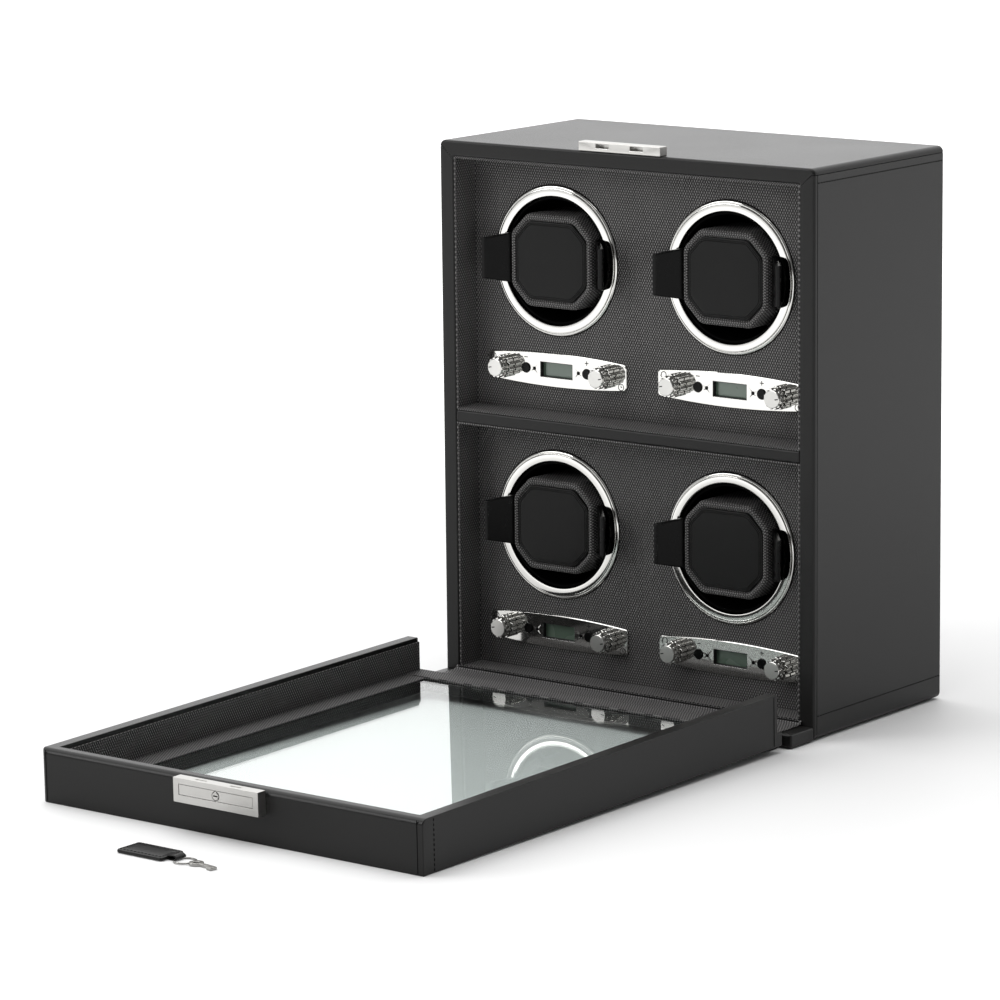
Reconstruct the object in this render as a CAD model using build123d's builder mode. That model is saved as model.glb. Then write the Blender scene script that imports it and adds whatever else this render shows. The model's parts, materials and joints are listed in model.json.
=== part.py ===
from build123d import *
import math
import os

os.makedirs("parts", exist_ok=True)

# Driving dimensions in millimetres. The origin is the middle of the cabinet's base,
# with +Z up, +X to the right and the front of the cabinet towards -Y.
cabinet_width = 293.0
cabinet_depth = 146.0
cabinet_height = 360.0
side_board = 11.0
top_board = 10.0
floor_height = 11.0
corner_radius = 4.0
edge_radius = 1.5
felt_thickness = 0.8
felt_margin = 6.0

half_width = cabinet_width / 2
front_y = -cabinet_depth / 2
back_y = cabinet_depth / 2
cavity_half = half_width - side_board
cavity_top = cabinet_height - top_board

# The shelf parts the cabinet into an upper and a lower compartment.
shelf_bottom = 175.6
shelf_top = 183.5
shelf_back = back_y - 18.0
compartments = [(shelf_top, cavity_top), (floor_height, shelf_bottom)]

# Textile-covered liner in front of the face panels.
liner_thickness = 1.5
liner_setback = 0.5
panel_front = front_y + 21.5
panel_thickness = 4.0
panel_back = panel_front + panel_thickness

# Back cover, held by screws into blocks in the corners and at mid height.
cover_thickness = 4.0
cover_gap = 0.2
fixing_block = 18.0
fixing_depth = 14.0
screw_head_radius = 3.2
screw_head_height = 1.6
screw_radius = 1.5
screw_length = 12.0
screw_recess_length = 3.4
screw_recess_width = 0.8
screw_recess_depth = 0.9
inlet_height = 30.0
inlet_radius = 5.8
inlet_flange_radius = 7.5
inlet_proud = 1.6
inlet_depth = 12.0
inlet_bore_radius = 3.0
inlet_bore_depth = 8.0
inlet_pin_radius = 1.0

# Four winder modules, named by their place.
module_x = 68.5
ring_heights = {"upper": 284.2, "lower": 111.0}
plate_drop = 71.6
module_places = {
    f"{level}_{side}": (sign * module_x, height)
    for level, height in ring_heights.items()
    for side, sign in (("left", -1), ("right", 1))
}
ring_places = list(module_places.values())
plate_places = [(x, z - plate_drop) for x, z in ring_places]

# Bezel ring, rotating drum and the fixed housing behind the panel.
ring_outer = 49.0
ring_inner = 42.0
ring_proud = 1.8
ring_shoulder = 1.2
ring_crease = 47.4
ring_edge = 0.8
ring_lip = 0.8
sleeve_thickness = 1.5
sleeve_back = panel_back + 1.5
panel_hole_radius = ring_inner + sleeve_thickness + 0.2
drum_outer = 41.4
drum_inner = 40.0
drum_front = panel_front + 0.5
drum_back = 8.0
drum_floor = 3.0
housing_inner = 43.9
housing_outer = 46.0
housing_flange = 52.0
housing_flange_depth = 2.0
housing_floor_front = 11.0
housing_floor_back = 14.0
shaft_radius = 4.0
running_clearance = 0.05
shaft_end = 17.5
socket_gap = 0.5
gearbox_radius = 19.0
gearbox_back = 34.0
motor_radius = 12.0
motor_back = 58.0

# Watch cuff: an upholstered block with cut corners on a U-shaped carrier with finger wings.
cuff_width = 65.0
cuff_height = 60.6
cuff_corner = 13.0
cuff_rounding = 5.0
cuff_front = front_y + 15.0
cuff_depth = 40.0
cuff_bevel = 1.6
cuff_pocket = 1.6
pad_width = 57.4
pad_height = 51.2
pad_corner = 11.2
pad_rounding = 4.0
pad_thickness = 1.8
carrier_thickness = 3.2
rail_half_height = 15.4
wing_root_half_height = 16.7
wing_tip_half_height = 13.0
wing_tip_x = 48.8
wing_tip_y = front_y + 5.0
wing_root_y = panel_front - 1.0
wing_thickness = 3.0
guide_clearance = 0.4
guide_thickness = 2.5
guide_inner_x = 33.6
guide_root = 0.6
guide_front = panel_front + 6.0

# Control plate with its knobs, buttons and display.
plate_width = 112.0
plate_end_half_height = 8.4
plate_mid_half_height = 11.2
plate_corner = 2.6
plate_thickness = 1.2
plate_front = panel_front - plate_thickness
plate_bevel = 0.5
window_width = 26.2
window_height = 10.1
cutout_width = 100.0
cutout_height = 13.0
cutout_corner = 2.0
lcd_border = 1.6
lcd_setback = 2.0
knob_offset = 40.7
button_offset = 24.6
lamp_offset = 17.8
lamp_radius = 0.8
button_radius = 3.3
button_hole_radius = 3.5
button_flange_radius = 4.2
button_front = plate_front - 0.9
button_flange_front = panel_front + 0.2
button_flange_back = panel_front + 1.2
button_travel = 1.2
button_edge = 0.3
board_front = panel_back + 1.0
board_thickness = 1.6
board_half_width = 50.0
board_half_height = 12.0
encoder_half = 5.5
switch_half = 3.0
switch_front = button_flange_back + button_travel + 0.1
knob_shaft_radius = 2.0
shaft_hole_gap = 0.4
knob_shaft_end = panel_front + 4.0
knob_face = front_y + 7.5
knob_disc_radius = 5.7
knob_disc_depth = 1.4
knob_upper_radius = 6.9
knob_lower_radius = 7.6
knob_groove_radius = 5.4
knob_upper_back = knob_face + 5.8
knob_lower_front = knob_face + 6.8
knob_lower_back = plate_front - 0.4
flute_count = 12
flute_radius = 0.9
flute_offset = 0.25

# Sill in front of the cabinet, its cloth and the leather of the hinge.
sill_depth = 25.0
sill_height = 9.5
sill_front = front_y - sill_depth
cloth_half_width = 137.5
cloth_thickness = 0.4
hinge_leather_thickness = 0.9
hinge_leather_gap = 0.3

# The door lies open in front of the sill, its far end resting on the ground. Its own
# coordinates are u, from the hinge axis to the far end, and w, from its outer face inwards.
hinge_y = sill_front - 9.0
hinge_z = 5.0
door_length = 355.0
door_start = 0.6
door_tilt = math.asin(hinge_z / door_length)
wall_height = 33.2
wall_thickness = 8.5
wall_start = 5.4
frame_thickness = 7.4
frame_step_height = 8.6
window_half_width = 121.0
window_start = 20.0
window_end = 329.5
pane_overlap = 10.0
pane_thickness = 3.0
ledge_height = 11.3
lining_thickness = 1.2
lining_top = 30.5
pane_start = window_start - pane_overlap
pane_end = window_end + pane_overlap
pane_half_width = window_half_width + pane_overlap
wall_inner_x = half_width - wall_thickness
wall_inner_end = door_length - wall_thickness

# Lock on the door's far wall and its strike on the cabinet's top edge.
lock_x = -2.0
lock_half_width = 32.5
lock_proud = 6.8
lock_low = 18.5
lock_middle = 26.3
push_half_width = 28.2
push_half_height = 3.05
push_gap = 0.3
push_recess = 2.0
push_thickness = 1.0
push_setback = 0.2
cylinder_radius = 2.45
cylinder_hole_radius = 2.9
cylinder_back_gap = 0.2
keyway_length = 3.4
keyway_width = 0.8
keyway_depth = 1.6
bolt_offset = 13.4
bolt_half_width = 4.0
bolt_thickness = 1.0
bolt_centre = 3.5
bolt_length = 7.5
bolt_gap = 0.35
bolt_side_gap = 0.25
bolt_setback = 0.5
strike_half_width = 32.0
strike_depth = 7.7
strike_height = 6.0
strike_slot_half_width = 5.0
strike_slot_height = 2.4
strike_slot_depth = 4.6

# Key, split ring and leather fob on the ground in front of the door.
fob_x = -11.0
fob_y = front_y - 441.0
fob_length = 39.0
fob_width = 20.0
fob_thickness = 2.4
fob_corner = 2.0
split_ring_x = 15.5
split_ring_y = front_y - 443.0
split_ring_radius = 6.6
split_ring_wire = 0.8
key_bow_x = 25.0
key_bow_y = front_y - 444.0
key_bow_radius = 4.4
key_tip_x = 41.0
key_tip_y = front_y - 446.0
key_thickness = 1.8
key_shank_half = 1.5
key_hole_radius = 1.6
key_overlap = 1.0
key_bit_length = 4.0
key_bit_width = 2.0


def area(x_low, x_high, low, high, mode=Mode.ADD):
    """A rectangle between two corners of the active sketch."""
    with Locations(((x_low + x_high) / 2, (low + high) / 2)):
        Rectangle(x_high - x_low, high - low, mode=mode)


def block(x_range, y_range, z_range, mode=Mode.ADD):
    """A box between two corners, in the active part."""
    with BuildSketch(Plane.XY.offset(z_range[0])) as outline:
        area(*x_range, *y_range)
    extrude(outline.sketch, amount=z_range[1] - z_range[0], mode=mode)


def facing(y, x=0.0, z=0.0):
    """A plane across the cabinet whose normal points forwards, out of the cabinet."""
    return Plane(origin=(x, y, z), x_dir=(1, 0, 0), z_dir=(0, -1, 0))


def door_plane(w):
    """A plane parallel to the door at height w; local y runs from the far end to the hinge."""
    normal = (0, -math.sin(door_tilt), math.cos(door_tilt))
    return Plane(origin=(0, hinge_y, hinge_z), x_dir=(1, 0, 0), z_dir=normal).offset(w)


def door_block(x_range, u_range, w_range, mode=Mode.ADD):
    """A box in the door's own coordinates, in the active part."""
    with BuildSketch(door_plane(w_range[0])) as outline:
        area(*x_range, -u_range[1], -u_range[0])
    extrude(outline.sketch, amount=w_range[1] - w_range[0], mode=mode)


def far_wall_plane(u, x=0.0, w=0.0):
    """A plane across the door at u whose normal points out of its far end."""
    tilt_cos = math.cos(door_tilt)
    tilt_sin = math.sin(door_tilt)
    y = hinge_y - u * tilt_cos - w * tilt_sin
    z = hinge_z - u * tilt_sin + w * tilt_cos
    return Plane(origin=(x, y, z), x_dir=(1, 0, 0), z_dir=(0, -tilt_cos, -tilt_sin))


def turned(x, z, outline, mode=Mode.ADD):
    """A ring or disc about the Y line through (x, z), from points of radius and y."""
    with BuildSketch(Plane(origin=(x, 0, z))) as section:
        with BuildLine():
            Polyline(*outline, close=True)
        make_face()
    revolve(section.sketch, axis=Axis((x, 0, z), (0, 1, 0)), mode=mode)


def rod(plane, radius, length, mode=Mode.ADD):
    """A round rod or hole that starts on a plane and runs along its normal."""
    with BuildSketch(plane) as outline:
        Circle(radius)
    extrude(outline.sketch, amount=length, mode=mode)


def save(piece, name):
    piece.label = name
    export_step(piece, f"parts/{name}.step")


# Cabinet: a wrapped wooden shell with blocks that take the back cover's screws.
cover_front = back_y - cover_thickness
shelf_middle = (shelf_bottom + shelf_top) / 2
block_rows = [
    (floor_height, floor_height + fixing_block),
    (shelf_middle - fixing_block / 2, shelf_middle + fixing_block / 2),
    (cavity_top - fixing_block, cavity_top),
]
screw_x = cavity_half - fixing_block / 2
screw_places = [(sign * screw_x, (low + high) / 2) for low, high in block_rows for sign in (-1, 1)]

with BuildPart() as cabinet_shell:
    block((-half_width, half_width), (front_y, back_y), (felt_thickness, cabinet_height))
    fillet(cabinet_shell.edges().filter_by(Axis.Y), corner_radius)
    fillet(cabinet_shell.faces().sort_by(Axis.Y)[0].edges(), edge_radius)
    fillet(cabinet_shell.faces().sort_by(Axis.Y)[-1].edges(), edge_radius)
    block((-cavity_half, cavity_half), (front_y, back_y), (floor_height, cavity_top), Mode.SUBTRACT)
    for row in block_rows:
        for sign in (-1, 1):
            block_x = sorted((sign * cavity_half, sign * (cavity_half - fixing_block)))
            block(block_x, (cover_front - fixing_depth, cover_front), row)
    for x, z in screw_places:
        rod(facing(cover_front, x, z), screw_radius, screw_length - cover_thickness, Mode.SUBTRACT)
save(cabinet_shell.part, "cabinet_shell")

with BuildPart() as base_felt:
    felt_x = half_width - felt_margin
    block((-felt_x, felt_x), (front_y + felt_margin, back_y - felt_margin), (0, felt_thickness))
save(base_felt.part, "base_felt")

with BuildPart() as shelf_divider:
    block((-cavity_half, cavity_half), (front_y, shelf_back), (shelf_bottom, shelf_top))
    shelf_front = shelf_divider.faces().sort_by(Axis.Y)[0]
    fillet(shelf_front.edges().filter_by(Axis.X), edge_radius)
save(shelf_divider.part, "shelf_divider")

with BuildPart() as liner_trays:
    for low, high in compartments:
        liner_y = (front_y + liner_setback, panel_front)
        block((-cavity_half, cavity_half), liner_y, (low, high))
        inner_x = cavity_half - liner_thickness
        block((-inner_x, inner_x), liner_y, (low + liner_thickness, high - liner_thickness), Mode.SUBTRACT)
save(liner_trays.part, "liner_trays")

with BuildPart() as face_panels:
    for low, high in compartments:
        block((-cavity_half, cavity_half), (panel_front, panel_back), (low, high))
    with BuildSketch(facing(panel_back)):
        with Locations(*ring_places):
            Circle(panel_hole_radius)
        with Locations(*plate_places):
            RectangleRounded(cutout_width, cutout_height, cutout_corner)
    extrude(amount=panel_thickness, mode=Mode.SUBTRACT)
save(face_panels.part, "face_panels")

with BuildPart() as back_cover:
    cover_x = cavity_half - cover_gap
    block((-cover_x, cover_x), (cover_front, back_y), (floor_height + cover_gap, cavity_top - cover_gap))
    with BuildSketch(facing(back_y)):
        with Locations(*screw_places):
            Circle(screw_radius)
        with Locations((0, inlet_height)):
            Circle(inlet_radius)
    extrude(amount=cover_thickness, mode=Mode.SUBTRACT)
save(back_cover.part, "back_cover")

with BuildPart() as cover_screws:
    for x, z in screw_places:
        rod(facing(back_y + screw_head_height, x, z), screw_head_radius, screw_head_height)
        rod(facing(back_y, x, z), screw_radius, screw_length)
        with BuildSketch(facing(back_y + screw_head_height, x, z)):
            Rectangle(screw_recess_length, screw_recess_width)
            Rectangle(screw_recess_width, screw_recess_length)
        extrude(amount=screw_recess_depth, mode=Mode.SUBTRACT)
save(cover_screws.part, "cover_screws")

with BuildPart() as dc_inlet:
    inlet_outline = [
        (0, back_y - inlet_depth), (inlet_radius, back_y - inlet_depth), (inlet_radius, back_y),
        (inlet_flange_radius, back_y), (inlet_flange_radius, back_y + inlet_proud),
        (inlet_bore_radius, back_y + inlet_proud), (inlet_bore_radius, back_y - inlet_bore_depth),
        (inlet_pin_radius, back_y - inlet_bore_depth), (inlet_pin_radius, back_y), (0, back_y),
    ]
    turned(0, inlet_height, inlet_outline)
save(dc_inlet.part, "dc_inlet")

# Winder modules: bezel rings, housings and drives.
with BuildPart() as bezel_rings:
    for x, z in ring_places:
        with BuildSketch(Plane(origin=(x, 0, z))) as ring_section:
            with BuildLine():
                Polyline(
                    (ring_outer, panel_front), (ring_outer, panel_front - ring_edge),
                    (ring_crease, panel_front - ring_shoulder),
                )
                ThreePointArc(
                    (ring_crease, panel_front - ring_shoulder),
                    ((ring_crease + ring_inner) / 2, panel_front - ring_proud),
                    (ring_inner, panel_front - ring_lip),
                )
                Polyline(
                    (ring_inner, panel_front - ring_lip), (ring_inner, sleeve_back),
                    (ring_inner + sleeve_thickness, sleeve_back),
                    (ring_inner + sleeve_thickness, panel_front), (ring_outer, panel_front),
                )
            make_face()
        revolve(ring_section.sketch, axis=Axis((x, 0, z), (0, 1, 0)))
save(bezel_rings.part, "bezel_rings")

with BuildPart() as drum_housings:
    for x, z in ring_places:
        housing_outline = [
            (housing_flange, panel_back), (housing_flange, panel_back + housing_flange_depth),
            (housing_outer, panel_back + housing_flange_depth), (housing_outer, housing_floor_back),
            (shaft_radius + running_clearance, housing_floor_back),
            (shaft_radius + running_clearance, housing_floor_front),
            (housing_inner, housing_floor_front), (housing_inner, panel_back),
        ]
        turned(x, z, housing_outline)
save(drum_housings.part, "drum_housings")

with BuildPart() as gear_motors:
    for x, z in ring_places:
        gearbox_outline = [
            (shaft_radius + running_clearance, housing_floor_back), (gearbox_radius, housing_floor_back),
            (gearbox_radius, gearbox_back), (motor_radius, gearbox_back), (motor_radius, motor_back),
            (0, motor_back), (0, shaft_end + socket_gap),
            (shaft_radius + running_clearance, shaft_end + socket_gap),
        ]
        turned(x, z, gearbox_outline)
save(gear_motors.part, "gear_motors")

# Control plates, their displays and the boards behind the panels.
with BuildSketch() as plate_outline:
    with BuildLine():
        plate_end = plate_width / 2
        ThreePointArc((-plate_end, plate_end_half_height), (0, plate_mid_half_height),
                      (plate_end, plate_end_half_height))
        Line((plate_end, plate_end_half_height), (plate_end, -plate_end_half_height))
        ThreePointArc((plate_end, -plate_end_half_height), (0, -plate_mid_half_height),
                      (-plate_end, -plate_end_half_height))
        Line((-plate_end, -plate_end_half_height), (-plate_end, plate_end_half_height))
    make_face()
    fillet(plate_outline.vertices(), plate_corner)
    Rectangle(window_width, window_height, mode=Mode.SUBTRACT)
    with Locations((-button_offset, 0), (button_offset, 0)):
        Circle(button_hole_radius, mode=Mode.SUBTRACT)
    with Locations((-lamp_offset, 0), (lamp_offset, 0)):
        Circle(lamp_radius, mode=Mode.SUBTRACT)
    with Locations((-knob_offset, 0), (knob_offset, 0)):
        Circle(knob_shaft_radius + shaft_hole_gap, mode=Mode.SUBTRACT)

with BuildPart() as control_plates:
    with BuildSketch(facing(panel_front)):
        with Locations(*plate_places):
            add(plate_outline.sketch)
    extrude(amount=plate_thickness)
    for plate_face in control_plates.faces().group_by(Axis.Y)[0]:
        chamfer(plate_face.outer_wire().edges(), plate_bevel)
save(control_plates.part, "control_plates")

with BuildPart() as lcd_modules:
    with BuildSketch(facing(board_front)):
        with Locations(*plate_places):
            Rectangle(window_width + lcd_border, window_height + lcd_border)
    extrude(amount=board_front - panel_front - lcd_setback)
save(lcd_modules.part, "lcd_modules")

with BuildPart() as control_boards:
    for x, z in plate_places:
        block((x - board_half_width, x + board_half_width), (board_front, board_front + board_thickness),
              (z - board_half_height, z + board_half_height))
        with BuildSketch(facing(board_front, x, z)):
            with Locations((-knob_offset, 0), (knob_offset, 0)):
                Rectangle(2 * encoder_half, 2 * encoder_half)
        extrude(amount=board_front - panel_front)
        with BuildSketch(facing(board_front, x, z)):
            with Locations((-button_offset, 0), (button_offset, 0)):
                Rectangle(2 * switch_half, 2 * switch_half)
        extrude(amount=board_front - switch_front)
        for side in (-1, 1):
            rod(facing(board_front, x + side * knob_offset, z), knob_shaft_radius + running_clearance,
                board_front - panel_front, Mode.SUBTRACT)
save(control_boards.part, "control_boards")

# Moving pieces of each module.
for place, (x, z) in module_places.items():
    with BuildPart() as drum:
        drum_outline = [
            (drum_outer, drum_front), (drum_outer, drum_back), (shaft_radius, drum_back),
            (shaft_radius, shaft_end), (0, shaft_end), (0, drum_back - drum_floor),
            (drum_inner, drum_back - drum_floor), (drum_inner, drum_front),
        ]
        turned(x, z, drum_outline)
        # Guides above and below each rail of the cuff's carrier.
        guide_low = rail_half_height + guide_clearance
        guide_outer_x = math.sqrt(drum_inner**2 - guide_low**2) + guide_root
        for side in (-1, 1):
            for level in (-1, 1):
                guide_x = sorted((x + side * guide_inner_x, x + side * guide_outer_x))
                guide_z = sorted((z + level * guide_low, z + level * (guide_low + guide_thickness)))
                block(guide_x, (guide_front, drum_back - drum_floor), guide_z)
    save(drum.part, f"drum_{place}")

    with BuildPart() as cuff_block:
        with BuildSketch(facing(cuff_front + cuff_depth, x, z)):
            Rectangle(cuff_width, cuff_height)
            chamfer(vertices(), cuff_corner)
            fillet(vertices(), cuff_rounding)
        extrude(amount=cuff_depth)
        chamfer(cuff_block.faces().sort_by(Axis.Y)[0].edges(), cuff_bevel)
        with BuildSketch(facing(cuff_front, x, z)):
            Rectangle(pad_width, pad_height)
            chamfer(vertices(), pad_corner)
            fillet(vertices(), pad_rounding)
        extrude(amount=-cuff_pocket, mode=Mode.SUBTRACT)
    save(cuff_block.part, f"cuff_block_{place}")

    with BuildPart() as cuff_pad:
        with BuildSketch(facing(cuff_front + cuff_pocket, x, z)):
            Rectangle(pad_width, pad_height)
            chamfer(vertices(), pad_corner)
            fillet(vertices(), pad_rounding)
        extrude(amount=pad_thickness)
    save(cuff_pad.part, f"cuff_pad_{place}")

    # The carrier: side rails, a bridge behind the block, and wings that flare past the ring.
    rail_x = cuff_width / 2
    carrier_x = rail_x + carrier_thickness
    bridge_front = cuff_front + cuff_depth
    rail_z = (z - rail_half_height, z + rail_half_height)
    with BuildPart() as cuff_carrier:
        block((x - carrier_x, x + carrier_x), (bridge_front, bridge_front + carrier_thickness), rail_z)
        for side in (-1, 1):
            rail_range = sorted((x + side * rail_x, x + side * carrier_x))
            block(rail_range, (wing_root_y, bridge_front), rail_z)
            with BuildSketch(Plane.XY.offset(z - wing_root_half_height)) as wing:
                with BuildLine():
                    Polyline(
                        (x + side * rail_x, wing_root_y),
                        (x + side * carrier_x, wing_root_y),
                        (x + side * wing_tip_x, wing_tip_y + wing_thickness / 2),
                        (x + side * wing_tip_x, wing_tip_y),
                        (x + side * (wing_tip_x - wing_thickness), wing_tip_y),
                        close=True,
                    )
                make_face()
            extrude(wing.sketch, amount=2 * wing_root_half_height)
        # The wings narrow towards their tips.
        for level in (-1, 1):
            with BuildSketch(Plane.YZ.offset(x - wing_tip_x)) as taper:
                with BuildLine():
                    Polyline(
                        (wing_root_y, z + level * wing_root_half_height),
                        (wing_tip_y, z + level * wing_tip_half_height),
                        (wing_tip_y, z + level * (wing_root_half_height + wing_thickness)),
                        (wing_root_y, z + level * (wing_root_half_height + wing_thickness)),
                        close=True,
                    )
                make_face()
            extrude(taper.sketch, amount=2 * wing_tip_x, mode=Mode.SUBTRACT)
    save(cuff_carrier.part, f"cuff_carrier_{place}")

    plate_z = z - plate_drop
    for knob_name, side in (("turns", -1), ("direction", 1)):
        knob_x = x + side * knob_offset
        with BuildPart() as knob:
            rod(facing(knob_shaft_end, knob_x, plate_z), knob_shaft_radius, knob_shaft_end - knob_face)
            rod(facing(knob_lower_back, knob_x, plate_z), knob_groove_radius, knob_lower_back - knob_face)
            rod(facing(knob_face + knob_disc_depth, knob_x, plate_z), knob_disc_radius, knob_disc_depth)
            tiers = (
                (knob_upper_radius, knob_face + knob_disc_depth, knob_upper_back),
                (knob_lower_radius, knob_lower_front, knob_lower_back),
            )
            for tier_radius, tier_front, tier_back in tiers:
                with BuildSketch(facing(tier_back, knob_x, plate_z)):
                    Circle(tier_radius)
                    with PolarLocations(tier_radius + flute_offset, flute_count):
                        Circle(flute_radius, mode=Mode.SUBTRACT)
                extrude(amount=tier_back - tier_front)
        save(knob.part, f"knob_{knob_name}_{place}")

    for button_name, side in (("minus", -1), ("plus", 1)):
        button_x = x + side * button_offset
        with BuildPart() as button:
            rod(facing(button_flange_back, button_x, plate_z), button_radius,
                button_flange_back - button_front)
            rod(facing(button_flange_back, button_x, plate_z), button_flange_radius,
                button_flange_back - button_flange_front)
            fillet(button.faces().sort_by(Axis.Y)[0].edges(), button_edge)
        save(button.part, f"button_{button_name}_{place}")

# Sill in front of the cabinet, the cloth over it and the hinge leather below it.
with BuildPart() as front_sill:
    block((-half_width, half_width), (sill_front, front_y), (felt_thickness, sill_height))
    fillet(front_sill.faces().sort_by(Axis.Y)[0].edges().filter_by(Axis.X), edge_radius)
save(front_sill.part, "front_sill")

with BuildPart() as sill_cloth:
    block((-cloth_half_width, cloth_half_width), (sill_front + edge_radius, front_y),
          (sill_height, sill_height + cloth_thickness))
save(sill_cloth.part, "sill_cloth")

with BuildPart() as hinge_leather:
    leather_top = hinge_leather_gap + hinge_leather_thickness
    leg_front = sill_front - hinge_leather_thickness
    leather_x = (-cloth_half_width, cloth_half_width)
    block(leather_x, (leg_front, sill_front), (hinge_leather_gap, hinge_z - 2 * hinge_leather_gap))
    block(leather_x, (hinge_y, leg_front), (hinge_leather_gap, leather_top))
save(hinge_leather.part, "hinge_leather")

# Door: a frame with three walls, the glass pane and its textile ledge.
full_x = (-half_width, half_width)
with BuildPart() as door_tray:
    door_block(full_x, (door_start, door_length), (0, frame_thickness))
    door_block(full_x, (door_start, pane_start), (0, frame_step_height))
    for side in (-1, 1):
        door_block(sorted((side * wall_inner_x, side * half_width)), (wall_start, door_length),
                   (0, wall_height))
    door_block(full_x, (wall_inner_end, door_length), (0, wall_height))
    far_corners = door_tray.edges().filter_by(lambda edge: edge.length > 0.9 * wall_height)
    fillet(far_corners.sort_by(Axis.Y)[:2], corner_radius)
    door_block((-window_half_width, window_half_width), (window_start, window_end),
               (0, frame_thickness), Mode.SUBTRACT)
save(door_tray.part, "door_tray")

with BuildPart() as glass_pane:
    door_block((-pane_half_width, pane_half_width), (pane_start, pane_end),
               (frame_thickness, frame_thickness + pane_thickness))
save(glass_pane.part, "glass_pane")

with BuildPart() as door_liner:
    ledge_x = (-wall_inner_x, wall_inner_x)
    pane_top = frame_thickness + pane_thickness
    door_block(ledge_x, (wall_start, wall_inner_end), (frame_step_height, ledge_height))
    door_block(ledge_x, (pane_start, wall_inner_end), (frame_thickness, frame_step_height))
    for side in (-1, 1):
        lining_x = sorted((side * (wall_inner_x - lining_thickness), side * wall_inner_x))
        door_block(lining_x, (wall_start, wall_inner_end), (ledge_height, lining_top))
    door_block(ledge_x, (wall_inner_end - lining_thickness, wall_inner_end), (ledge_height, lining_top))
    door_block((-pane_half_width, pane_half_width), (pane_start, pane_end),
               (frame_thickness, pane_top), Mode.SUBTRACT)
    door_block((-window_half_width, window_half_width), (window_start, window_end),
               (pane_top, ledge_height), Mode.SUBTRACT)
save(door_liner.part, "door_liner")

# Lock on the door's far wall.
lock_range = (lock_x - lock_half_width, lock_x + lock_half_width)
lock_face = door_length + lock_proud
with BuildPart() as lock_body:
    door_block(lock_range, (door_length, lock_face), (lock_low, wall_height))
    with BuildSketch(far_wall_plane(lock_face, lock_x, lock_middle)) as push_recess_outline:
        Rectangle(2 * (push_half_width + push_gap), 2 * (push_half_height + push_gap))
    extrude(push_recess_outline.sketch, amount=-push_recess, mode=Mode.SUBTRACT)
    rod(far_wall_plane(door_length, lock_x, lock_middle), cylinder_radius + running_clearance,
        lock_proud, Mode.SUBTRACT)
    bolt_u = door_length + bolt_centre
    for side in (-1, 1):
        bolt_x = lock_x + side * bolt_offset
        half_slot = bolt_half_width + bolt_gap
        half_gap = bolt_thickness / 2 + bolt_side_gap
        door_block((bolt_x - half_slot, bolt_x + half_slot), (bolt_u - half_gap, bolt_u + half_gap),
                   (wall_height - bolt_setback - bolt_length - bolt_gap, wall_height), Mode.SUBTRACT)
save(lock_body.part, "lock_body")

with BuildPart() as push_panel:
    push_back = lock_face - push_setback - push_thickness
    with BuildSketch(far_wall_plane(push_back, lock_x, lock_middle)) as push_outline:
        Rectangle(2 * push_half_width, 2 * push_half_height)
        Circle(cylinder_hole_radius, mode=Mode.SUBTRACT)
    extrude(push_outline.sketch, amount=push_thickness)
save(push_panel.part, "push_panel")

with BuildPart() as lock_cylinder:
    rod(far_wall_plane(door_length + cylinder_back_gap, lock_x, lock_middle), cylinder_radius,
        lock_proud - cylinder_back_gap)
    with BuildSketch(far_wall_plane(lock_face, lock_x, lock_middle)) as keyway:
        Rectangle(keyway_length, keyway_width)
    extrude(keyway.sketch, amount=-keyway_depth, mode=Mode.SUBTRACT)
save(lock_cylinder.part, "lock_cylinder")

with BuildPart() as latch_bolts:
    for side in (-1, 1):
        bolt_x = lock_x + side * bolt_offset
        door_block((bolt_x - bolt_half_width, bolt_x + bolt_half_width),
                   (bolt_u - bolt_thickness / 2, bolt_u + bolt_thickness / 2),
                   (wall_height - bolt_setback - bolt_length, wall_height - bolt_setback))
save(latch_bolts.part, "latch_bolts")

# Strike on the cabinet's top edge. Its slots meet the bolts when the door is shut.
with BuildPart() as strike_plate:
    block((lock_x - strike_half_width, lock_x + strike_half_width), (front_y, front_y + strike_depth),
          (cabinet_height, cabinet_height + strike_height))
    strike_slot_z = hinge_z + bolt_u
    for side in (-1, 1):
        slot_x = lock_x + side * bolt_offset
        block((slot_x - strike_slot_half_width, slot_x + strike_slot_half_width),
              (front_y, front_y + strike_slot_depth),
              (strike_slot_z - strike_slot_height / 2, strike_slot_z + strike_slot_height / 2), Mode.SUBTRACT)
save(strike_plate.part, "strike_plate")

# Key with its ring and fob.
with BuildPart() as key_fob:
    with BuildSketch():
        with Locations((fob_x, fob_y)):
            RectangleRounded(fob_length, fob_width, fob_corner)
    extrude(amount=fob_thickness)
save(key_fob.part, "key_fob")

with BuildPart() as split_ring:
    with BuildSketch(Plane.XZ.offset(-split_ring_y)) as ring_wire:
        with Locations((split_ring_x + split_ring_radius, split_ring_wire)):
            Circle(split_ring_wire)
    revolve(ring_wire.sketch, axis=Axis((split_ring_x, split_ring_y, 0), (0, 0, 1)))
save(split_ring.part, "split_ring")

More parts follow.
